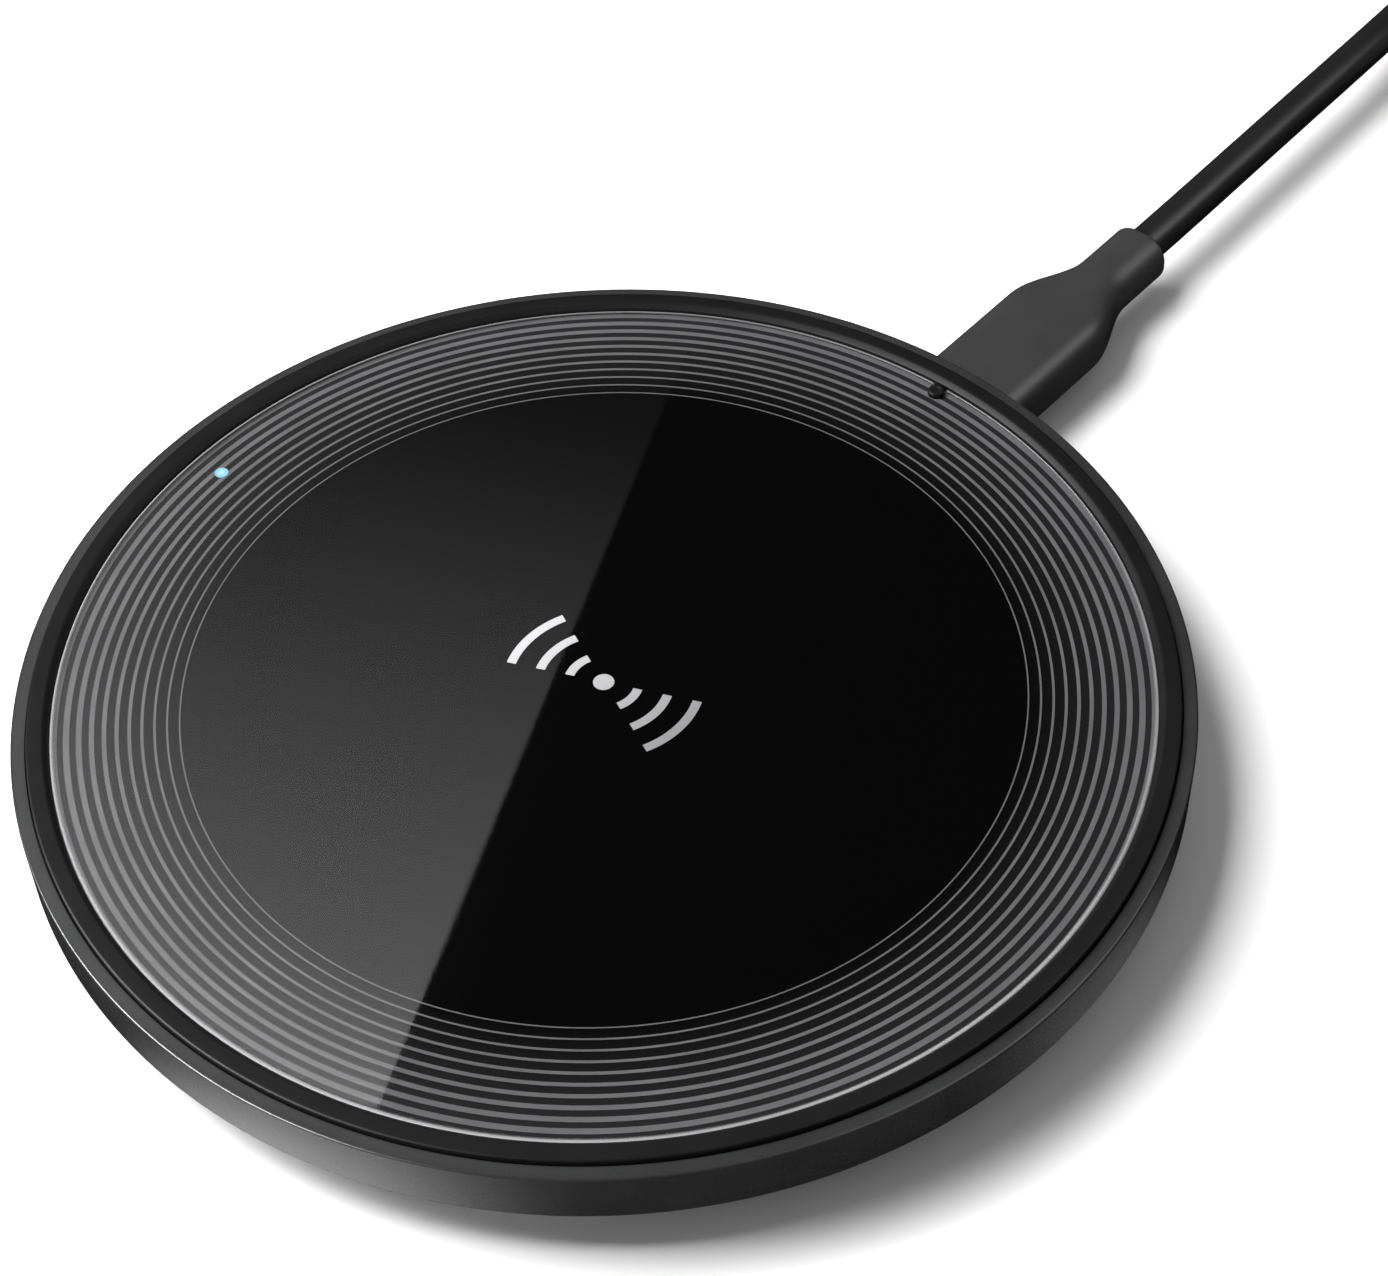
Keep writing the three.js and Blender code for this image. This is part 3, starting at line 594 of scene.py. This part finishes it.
def dress_cad_nodes():
    """Gives every CAD node the look of its own material slot."""
    for entry in frame["record"]["subparts"]:
        node = frame["nodes"][entry["node"]]
        node.data.materials.clear()
        node.data.materials.append(MATERIALS[CAD_LOOKS[entry["material_slot"]]])


def keep(piece, look, body, slot, *nodes):
    """Dresses a piece, puts it on its body and hides the CAD nodes it stands for."""
    if not piece.data.materials:
        piece.data.materials.append(MATERIALS[look])
    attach(piece, body)
    if nodes:
        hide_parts(*nodes)
    return piece


# ---- the pad ----
def port_cutter():
    half_w = (socket_high.x - socket_low.x) / 2 + PORT_FIT
    half_h = (socket_high.z - socket_low.z) / 2 + PORT_FIT
    return bar_along_y(
        "port_cutter", half_w, half_h, half_h, socket_low.y - 1, PAD_RADIUS + 1, 0, PORT_Z,
    )


def make_outer_shell():
    """The wall and the deck under the lens, in one piece."""
    outline = rounded([
        (0, DECK_TOP - 1), (WALL_INNER, DECK_TOP - 1, 0.3),
        (WALL_INNER, SEAM_Z, 0.05), (PAD_RADIUS - 0.1, SEAM_Z, 0.3),
        (PAD_RADIUS, shell_high.z - 0.05, 0.27), (RING_OUTER + RING_GAP, shell_high.z, 0.08),
        (RING_OUTER + RING_GAP, DECK_TOP), (0, DECK_TOP),
    ])
    return carve(turned("housing_shell", outline), port_cutter())


def make_base_cover():
    """The floor with a channel for the foot, a sloping underside, and the lip inside the wall."""
    channel_inner = foot_high.x - FOOT_WIDTH - FOOT_FIT
    channel_outer = foot_high.x + FOOT_FIT
    seam = SEAM_Z - SEAM_GAP
    outline = rounded([
        (0, base_low.z), (channel_inner, base_low.z, 0.1), (channel_inner, foot_high.z),
        (channel_outer, foot_high.z), (channel_outer, base_low.z, 0.1),
        (BASE_FLAT, base_low.z, 1.2), (BASE_RIM, seam, 0.15), (LIP_OUTER, seam),
        (LIP_OUTER, base_high.z, 0.1), (LIP_INNER, base_high.z, 0.1),
        (LIP_INNER, seam), (BASE_FLAT, FLOOR_TOP, 0.8), (0, FLOOR_TOP),
    ])
    return carve(turned("housing_base", outline), port_cutter())


def make_foot():
    """The foot ring, with shallow grooves in its underside."""
    inner, outer = foot_high.x - FOOT_WIDTH, foot_high.x
    corners = [(inner, foot_high.z), (inner, 0, 0.25)]
    for k in range(1, FOOT_GROOVES + 1):
        middle = inner + (outer - inner) * k / (FOOT_GROOVES + 1)
        corners += [
            (middle - GROOVE_HALF, 0, 0.1), (middle - GROOVE_FLOOR_HALF, GROOVE_DEPTH, 0.1),
            (middle + GROOVE_FLOOR_HALF, GROOVE_DEPTH, 0.1), (middle + GROOVE_HALF, 0, 0.1),
        ]
    corners += [(outer, 0, 0.25), (outer, foot_high.z)]
    return turned("foot_pad", rounded(corners, 3))


def make_anti_slip_ring():
    """The rubber ring: highest near the lens, and rounded down to it."""
    inner = LENS_RADIUS + RING_FIT
    return turned("phone_rest_ring", rounded([
        (inner, DECK_TOP), (RING_OUTER, DECK_TOP), (RING_OUTER, ring_high.z - RING_FALL, 0.25),
        (inner + RING_CREST, ring_high.z, 0.3), (inner, lens_high.z + 0.1, 0.08),
    ]))


def pin_cutter(low, high):
    """A notch round the locating pin, open to the edge."""
    radius = (pin_high.x - pin_low.x) / 2 + PIN_FIT
    y = (pin_low.y + pin_high.y) / 2
    notch = upright("pin_notch", radius, low, high, 0, y)
    block = bar_along_y("pin_slot", radius, (high - low) / 2, 0.01, y, y + 3, 0, (low + high) / 2)
    return notch, block


def make_lens():
    """The clear lens, with a rounded edge that carries a painted highlight, and an underside that hardly
    mirrors.
    """
    outline = rounded([
        (0, LENS_UNDER), (LENS_RADIUS, LENS_UNDER, 0.02), (LENS_RADIUS, lens_high.z, 0.4),
        (LENS_RADIUS - EDGE_BAND_WIDTH, lens_high.z), (0, lens_high.z),
    ], 10)
    lens = carve(turned("lens", outline), *pin_cutter(lens_low.z - 1, lens_high.z + 1))
    lens.data.materials.clear()
    lens.data.materials.append(MATERIALS["lens"])
    lens.data.materials.append(MATERIALS["lens_edge"])
    lens.data.materials.append(MATERIALS["lens_under"])
    for face in lens.data.polygons:
        edge = face.center.xy.length > (LENS_RADIUS - EDGE_BAND_WIDTH) * MM
        face.material_index = 2 if face.normal.z < -0.5 else 1 if edge else 0
    return lens


def make_print():
    """The black printed disc, with a round window over the light."""
    low, high = print_low.z, print_high.z
    disc = turned("printed_sheet", [(0, low), (LENS_RADIUS, low), (LENS_RADIUS, high), (0, high)])
    window = upright(
        "light_window", LIGHT_RADIUS + WINDOW_FIT, low - 1, high + 1, LIGHT_CENTRE.x, LIGHT_CENTRE.y,
    )
    return carve(disc, window, *pin_cutter(low - 1, high + 1))


def make_circles():
    """The printed circles, as thin rings of ink, each with a wider line than the last."""
    bm = bmesh.new()
    for k in range(CIRCLES):
        radius = FIRST_CIRCLE + CIRCLE_STEP * k
        half = (THINNEST_CIRCLE + CIRCLE_GROWTH * k) / 2
        near, far = radius - half, radius + half
        rings = []
        for r, z in ((near, 0.0), (far, 0.0), (far, INK), (near, INK)):
            rings.append([
                bm.verts.new((
                    r * MM * math.cos(2 * math.pi * i / FINE),
                    r * MM * math.sin(2 * math.pi * i / FINE),
                    (print_high.z + z) * MM,
                ))
                for i in range(FINE)
            ])
        for here, there in zip(rings, rings[1:] + rings[:1]):
            for i in range(FINE):
                j = (i + 1) % FINE
                bm.faces.new((here[i], here[j], there[j], there[i]))
    return finish_mesh("printed_circles", bm)


def make_sign():
    """A plain wireless sign in silver ink in the middle of the print."""
    bm = bmesh.new()
    bottom, top = print_high.z * MM, (print_high.z + INK) * MM

    def corner(radius, degrees, height):
        angle = math.radians(degrees)
        return bm.verts.new((radius * MM * math.cos(angle), radius * MM * math.sin(angle), height))

    dot = [[corner(SIGN_DOT, 360 * i / SMALL, height) for i in range(SMALL)] for height in (bottom, top)]
    bm.faces.new(dot[0])
    bm.faces.new(dot[1])
    for i in range(SMALL):
        j = (i + 1) % SMALL
        bm.faces.new((dot[0][i], dot[0][j], dot[1][j], dot[1][i]))
    for radius in SIGN_ARCS:
        near, far = radius - SIGN_STROKE / 2, radius + SIGN_STROKE / 2
        for middle in (0, 180):
            rows = []
            for i in range(SIGN_STEPS + 1):
                degrees = middle + SIGN_OPENING * (2 * i / SIGN_STEPS - 1)
                rows.append([corner(near, degrees, bottom), corner(far, degrees, bottom),
                             corner(far, degrees, top), corner(near, degrees, top)])
            for here, there in zip(rows, rows[1:]):
                for k in range(4):
                    bm.faces.new((here[k], here[k - 1], there[k - 1], there[k]))
            bm.faces.new(rows[0])
            bm.faces.new(rows[-1])
    return finish_mesh("centre_sign", bm)


def make_light():
    """The light pipe, through the print to just under the lens, with a top within 0.01 mm of flat."""
    outline = [(0, light_low.z), (LIGHT_RADIUS, light_low.z)]
    rise = LIGHT_MIDDLE - LIGHT_RIM
    for k in range(9):
        angle = math.pi / 2 * k / 8
        outline.append((LIGHT_RADIUS * math.cos(angle), LIGHT_RIM + rise * math.sin(angle)))
    pipe = turned("status_light_pipe", outline, facets=SMALL)
    pipe.data.transform(Matrix.Translation(Vector((LIGHT_CENTRE.x, LIGHT_CENTRE.y, 0)) * MM))
    return pipe


def make_pin():
    """The locating pin: a shallow dish in a rounded top."""
    radius = (pin_high.x - pin_low.x) / 2
    outline = rounded([
        (0, pin_low.z), (radius, pin_low.z), (radius, PIN_TOP, 0.18), (radius * 0.55, PIN_TOP, 0.1),
        (radius * 0.4, PIN_TOP - 0.12, 0.08), (0, PIN_TOP - 0.14),
    ], 4)
    pin = turned("locating_pin", outline, facets=SMALL)
    pin.data.transform(Matrix.Translation(Vector((0, (pin_low.y + pin_high.y) / 2, 0)) * MM))
    return pin


def make_pad():
    keep(make_outer_shell(), "housing", "pad", "housing_plastic", "outer_shell")
    keep(make_base_cover(), "housing", "pad", "housing_plastic", "base_cover")
    keep(make_foot(), "foot", "pad", "soft_rubber", "foot_ring")
    keep(make_anti_slip_ring(), "ring", "pad", "soft_rubber", "anti_slip_ring")
    keep(make_lens(), "lens", "pad", "lens_clear", "cover_lens")
    keep(make_print(), "print", "pad", "printed_film", "printed_disc")
    keep(make_circles(), "ink", "pad", "printed_film")
    keep(make_sign(), "silver", "pad", "printed_film")
    keep(make_light(), "light", "pad", "light_pipe", "led_light_pipe")
    keep(make_pin(), "ring", "pad", "soft_rubber", "lens_locating_pin")


# ---- the plug and port ----
SHELL_WALL = 0.3
PLUG_WALL = 0.28
BOOT_SHOULDER = 13.6  # straight length before the taper
BOOT_NECK = 22.0  # where the taper ends and the neck starts
BOOT_NECK_HALF = 2.95  # half the neck's width
BOOT_NECK_TRIM = 0.25  # the neck is this much thinner than the body, above and below
BOOT_ROUND = 2.0
BOOT_ROUND_GAIN = 0.35  # added to the corner radius at the neck
BOOT_FRONT_ROUND = 0.3
BOOT_REAR_ROUND = 0.45
BOOT_SECTIONS = 48  # along the body, between its rounded ends


def metal_shell(name, low, high, wall, rounds, steps):
    """A drawn metal shell, hollow right through; rounds and steps are (outside, bore)."""
    x, z = (low.x + high.x) / 2, (low.z + high.z) / 2
    half_w, half_h = (high.x - low.x) / 2, (high.z - low.z) / 2
    tube = bar_along_y(name, half_w, half_h, rounds[0], low.y, high.y, x, z, edge=0.12, steps=steps[0])
    bore = bar_along_y(
        "bore", half_w - wall, half_h - wall, rounds[1], low.y - 1, high.y + 1, x, z, steps=steps[1],
    )
    return carve(tube, bore)


def slot_tube(name, low, high, wall):
    """A metal shell whose section is a round-ended slot."""
    half_h = (high.z - low.z) / 2
    return metal_shell(name, low, high, wall, (half_h, min(half_h, 1.25)), (12, 12))


def boot_section(y, inset):
    """The plug body's outline at y from its front end, drawn in all round by the inset."""
    share = ease(y, BOOT_SHOULDER, BOOT_NECK)
    body_half = (boot_high.x - boot_low.x) / 2
    half_w = body_half + (BOOT_NECK_HALF - body_half) * share - inset
    low, high = boot_low.z + BOOT_NECK_TRIM * share, boot_high.z - BOOT_NECK_TRIM * share
    half_h = (high - low) / 2 - inset
    radius = BOOT_ROUND + BOOT_ROUND_GAIN * share - inset
    outline = rounded_section(half_w, half_h, radius, 14)
    return [(px, boot_low.y + y, (low + high) / 2 + pz) for px, pz in outline]


def make_boot():
    """The moulded plug body: flat top, rolled sides, an S-curve in to a round neck."""
    length = boot_high.y - boot_low.y
    stations = []
    for k in range(5):
        angle = math.pi / 2 * k / 4
        inset = BOOT_FRONT_ROUND * (1 - math.sin(angle))
        stations.append((BOOT_FRONT_ROUND * (1 - math.cos(angle)), inset))
    start, end = BOOT_FRONT_ROUND, length - BOOT_REAR_ROUND
    for k in range(1, BOOT_SECTIONS):
        stations.append((start + (end - start) * k / BOOT_SECTIONS, 0))
    for k in range(7):
        angle = math.pi / 2 * k / 6
        inset = BOOT_REAR_ROUND * (1 - math.cos(angle))
        stations.append((end + BOOT_REAR_ROUND * math.sin(angle), inset))
    return lofted("plug_boot", [boot_section(y, inset) for y, inset in stations], sharp=60)


def make_near_plug():
    keep(make_boot(), "boot", "lead", "soft_rubber", "usb_c_overmould")
    shell = slot_tube("plug_shell", plug_low, plug_high, PLUG_WALL)
    keep(shell, "nickel", "lead", "nickel", "usb_c_plug_shell")
    socket = slot_tube("port_shell", socket_low, socket_high, SHELL_WALL)
    keep(socket, "nickel", "pad", "nickel", "usb_c_receptacle_shell")


# ---- the far plug ----
RELIEF = 8.0  # length of the strain relief behind the block
RELIEF_RADIUS = 3.5  # where it leaves the block
RELIEF_TAPER = 0.7  # the radius lost by its end
RELIEF_STEP = 0.3  # depth of its steps
GRIP_SECTIONS = 64
RELIEF_SECTIONS = 24
RIDGES = 9  # waves along the block; those in its middle stretch are cut
RIDGE_DEPTH = 0.22
LATCH_WINDOW_SIDE = 2.9  # from the middle of the shell
LATCH_WINDOW_SPAN = (5.2, 7.6)  # along the shell


def make_grip():
    """The moulded body of the far plug: a soft-edged block, finger ridges and a stepped strain relief."""
    x, z = (grip_low.x + grip_high.x) / 2, (grip_low.z + grip_high.z) / 2
    half_w, half_h = (grip_high.x - grip_low.x) / 2, (grip_high.z - grip_low.z) / 2
    rear = grip_high.y - RELIEF
    sections = []
    length = rear - grip_low.y
    for k in range(GRIP_SECTIONS + 1):
        y = grip_low.y + length * k / GRIP_SECTIONS
        front_end = ease(y, grip_low.y - 0.4, grip_low.y + 0.9)
        rear_end = 1 - 0.55 * ease(y, rear - 5, rear + 0.01)
        along = (y - grip_low.y) / length
        wave = max(0.0, math.sin(2 * math.pi * RIDGES * along))
        ridge = RIDGE_DEPTH * wave if 0.3 < along < 0.75 else 0.0
        inset = (1 - min(front_end, rear_end)) * 2.6 + ridge
        outline = rounded_section(half_w - inset, half_h - inset * 0.6, 2.0, 10)
        sections.append([(x + px, y, z + pz) for px, pz in outline])
    for k in range(RELIEF_SECTIONS + 1):
        y = rear + RELIEF * k / RELIEF_SECTIONS
        rib = RELIEF_STEP if (k // 3) % 2 else 0.0
        radius = RELIEF_RADIUS - RELIEF_TAPER * k / RELIEF_SECTIONS - rib
        outline = rounded_section(radius, radius, radius, 10)
        sections.append([(x + px, y, z + pz) for px, pz in outline])
    return lofted("far_plug_grip", sections, sharp=40)


def make_far_shell():
    """The flat metal shell of the far plug with its two square latch windows."""
    shell = metal_shell(
        "far_plug_shell", far_shell_low, far_shell_high, SHELL_WALL, (0.45, 0.2), (5, 3),
    )
    x = (far_shell_low.x + far_shell_high.x) / 2
    start, end = (far_shell_low.y + along for along in LATCH_WINDOW_SPAN)
    cutters = []
    for side in (-1, 1):
        cutters.append(bar_along_y(
            "latch_window", 1.1, 1.0, 0.2, start, end, x + side * LATCH_WINDOW_SIDE, far_shell_high.z,
            edge=0.05, steps=3,
        ))
    return carve(shell, *cutters)


def make_far_plug():
    grip = keep(make_grip(), "boot", "lead", "soft_rubber", "usb_a_overmould")
    shell = keep(make_far_shell(), "nickel", "lead", "nickel", "usb_a_shell")
    return grip, shell


# ---- the tie ----
TIE_THICK = 0.5


def make_tie():
    """A band round the turns, with softened edges."""
    middle = (tie_low + tie_high) / 2
    half_w, half_h = (tie_high.y - tie_low.y) / 2, (tie_high.z - tie_low.z) / 2
    outer = rounded_section(half_w, half_h, 1.5, 8)
    inner = rounded_section(half_w - TIE_THICK, half_h - TIE_THICK, 1.0, 8)
    bm = bmesh.new()
    half_x = (tie_high.x - tie_low.x) / 2
    rows = []
    for outline, x in ((outer, -half_x), (outer, half_x), (inner, half_x), (inner, -half_x)):
        rows.append([
            bm.verts.new(Vector((middle.x + x, middle.y + py, middle.z + pz)) * MM)
            for py, pz in outline
        ])
    for here, there in zip(rows, rows[1:] + rows[:1]):
        for i in range(len(here)):
            k = (i + 1) % len(here)
            bm.faces.new((here[i], here[k], there[k], there[i]))
    strap = finish_mesh("tie_strap", bm)
    bevel = strap.modifiers.new("soft_edge", "BEVEL")
    bevel.width = 0.12 * MM
    bevel.segments = 2
    bevel.angle_limit = math.radians(50)
    return strap


dress_cad_nodes()
make_pad()
make_near_plug()
far_grip, far_shell = make_far_plug()
tie = keep(make_tie(), "foot", "lead", "soft_rubber", "cable_tie")
cable.data.materials.append(MATERIALS["jacket"])
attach(cable, "lead")
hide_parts("cable_run", "cable_coil", "cable_tail")


# ---- floor and light ----
FLOOR_REACH = 3.0  # metres from the middle
WORLD_STRENGTH = 0.3
STRIP_RADII = (50, 75)
STRIP_HEIGHT = -1  # under the floor, which mirrors see through
STRIP_CORE = 0.03  # radians of full strength either side of the middle
STRIP_STEPS = 40
CARD_HEIGHT = 400
CARD_EDGE_FAR = Vector((-18.62, 30.02, lens_high.z))  # where the card's straight edge shows in the lens
CARD_EDGE_NEAR = Vector((15.63, -42.96, lens_high.z))
CARD_OVERHANG = 60  # beyond both of those
CARD_WIDTH = 260
CARD_DIM = 0.08  # strength at the far end
CARD_BRIGHT = 3.0  # strength at the near end
CARD_CURVE = 1.6  # over 1, the strength rises late


def floor_paper():
    m = Nodes("floor_paper")
    m.tint(m.spread(m.noise(30.0), 0, 1), (0.9, 0.9, 0.9), (0.91, 0.91, 0.91))
    m.set(Roughness=1.0, Specular_IOR_Level=0.0)
    return m.material


def make_floor():
    bm = bmesh.new()
    corners = [(x * FLOOR_REACH, y * FLOOR_REACH, 0) for x, y in ((-1, -1), (1, -1), (1, 1), (-1, 1))]
    bm.faces.new([bm.verts.new(c) for c in corners])
    floor = finish_mesh("floor", bm)
    floor.data.materials.append(floor_paper())
    floor.visible_glossy = False


def make_table_card(name, first, last, strength):
    """A glowing arc under the floor that the wall mirrors, faded at both ends; angles in degrees."""
    bm = bmesh.new()
    start, end = math.radians(first), math.radians(last)
    rows = []
    for i in range(STRIP_STEPS + 1):
        angle = start + (end - start) * i / STRIP_STEPS
        rows.append([
            bm.verts.new((r * MM * math.cos(angle), r * MM * math.sin(angle), STRIP_HEIGHT * MM))
            for r in STRIP_RADII
        ])
    for here, there in zip(rows, rows[1:]):
        bm.faces.new((here[0], here[1], there[1], there[0]))
    card = finish_mesh(name, bm)
    m = Nodes(f"{name}_glow")
    m.tree.nodes.remove(m.shader)
    parts = m.add("ShaderNodeSeparateXYZ")
    m.link(m.place, parts.inputs[0])
    turn = m.add("ShaderNodeMath", operation="ARCTAN2")
    m.link(parts.outputs["Y"], turn.inputs[0])
    m.link(parts.outputs["X"], turn.inputs[1])
    middle = math.remainder((start + end) / 2, 2 * math.pi)
    off = m.add("ShaderNodeMath", operation="SUBTRACT")
    m.link(turn.outputs[0], off.inputs[0])
    off.inputs[1].default_value = middle
    size = m.add("ShaderNodeMath", operation="ABSOLUTE")
    m.link(off.outputs[0], size.inputs[0])
    fade = m.add("ShaderNodeMapRange", interpolation_type="SMOOTHSTEP")
    fade.inputs["From Min"].default_value = STRIP_CORE
    fade.inputs["From Max"].default_value = (end - start) / 2
    fade.inputs["To Min"].default_value = strength
    fade.inputs["To Max"].default_value = 0.0
    m.link(size.outputs[0], fade.inputs["Value"])
    glow = m.add("ShaderNodeEmission")
    m.link(fade.outputs["Result"], glow.inputs["Strength"])
    m.link(glow.outputs[0], m.output.inputs["Surface"])
    card.data.materials.append(m.material)
    only_mirrored(card)


def only_mirrored(card):
    """Leaves the card to mirrors alone."""
    card.visible_camera = False
    card.visible_diffuse = False
    card.visible_shadow = False
    card.visible_transmission = False


def aimed(location, target):
    ahead = (Vector(target) - Vector(location)).normalized()
    return Matrix.Translation(location) @ ahead.to_track_quat("-Z", "Y").to_matrix().to_4x4()


def softbox(name, heading, height, distance, size, watts, diffuse=True, glossy=True):
    """A lamp seen from the pad at a heading and height in degrees; size is (across, up) in metres."""
    data = bpy.data.lights.new(name, "AREA")
    data.shape = "RECTANGLE"
    data.size, data.size_y = size
    data.energy = watts
    lamp = bpy.data.objects.new(name, data)
    turn, rise = math.radians(heading), math.radians(height)
    spot = Vector((
        math.cos(turn) * math.cos(rise),
        math.sin(turn) * math.cos(rise),
        math.sin(rise),
    ))
    lamp.matrix_world = aimed(spot * distance, (0, 0, 0))
    lamp.visible_diffuse = diffuse
    lamp.visible_glossy = glossy
    lamp.visible_transmission = False
    bpy.context.scene.collection.objects.link(lamp)


def seen_in_lens(point):
    """The place at the card's height that the camera sees mirrored at a point of the lens."""
    eye = CAMERA_AT / MM
    eye.z = 2 * lens_high.z - eye.z
    return eye + (point - eye) * (CARD_HEIGHT - eye.z) / (point.z - eye.z)


def make_card():
    """A glowing card that the lens mirrors on its left side, brighter towards its near end."""
    far, near = seen_in_lens(CARD_EDGE_FAR), seen_in_lens(CARD_EDGE_NEAR)
    along = (near - far).normalized()
    away = along.cross(Vector((0, 0, 1)))
    if away.dot(Vector((-1, -1, 0))) < 0:
        away = -away
    first, last = far - along * CARD_OVERHANG, near + along * CARD_OVERHANG
    corners = [first, last, last + away * CARD_WIDTH, first + away * CARD_WIDTH]
    bm = bmesh.new()
    bm.faces.new([bm.verts.new(c * MM) for c in corners])
    card = finish_mesh("light_card", bm)
    m = Nodes("card_glow")
    m.tree.nodes.remove(m.shader)
    dot = m.add("ShaderNodeVectorMath", operation="DOT_PRODUCT")
    m.link(m.place, dot.inputs[0])
    dot.inputs[1].default_value = along
    share = m.add("ShaderNodeMapRange")
    share.inputs["From Min"].default_value = far.dot(along) * MM
    share.inputs["From Max"].default_value = near.dot(along) * MM
    m.link(dot.outputs["Value"], share.inputs["Value"])
    curve = m.add("ShaderNodeMath", operation="POWER")
    m.link(share.outputs["Result"], curve.inputs[0])
    curve.inputs[1].default_value = CARD_CURVE
    level = m.add("ShaderNodeMath", operation="MULTIPLY_ADD")
    m.link(curve.outputs[0], level.inputs[0])
    level.inputs[1].default_value = CARD_BRIGHT - CARD_DIM
    level.inputs[2].default_value = CARD_DIM
    glow = m.add("ShaderNodeEmission")
    m.link(level.outputs[0], glow.inputs["Strength"])
    m.link(glow.outputs[0], m.output.inputs["Surface"])
    card.data.materials.append(m.material)
    only_mirrored(card)


def make_world():
    world = bpy.data.worlds.new("world")
    world.use_nodes = True
    background = world.node_tree.nodes["Background"]
    background.inputs["Color"].default_value = (1, 1, 1, 1)
    background.inputs["Strength"].default_value = WORLD_STRENGTH
    world.cycles_visibility.glossy = False
    bpy.context.scene.world = world


make_floor()
make_world()
make_card()
make_table_card("front_strip", first=255, last=310, strength=2.5)
make_table_card("side_strip", first=-15, last=30, strength=0.3)
softbox("key", heading=209, height=54, distance=0.5, size=(0.34, 0.42), watts=6.8, glossy=False)
softbox("top", heading=38, height=50, distance=0.6, size=(0.5, 0.5), watts=2.3, diffuse=False)
softbox("rim", heading=240, height=18, distance=0.5, size=(0.5, 0.14), watts=17, diffuse=False)
bpy.context.scene.view_settings.view_transform = "Standard"
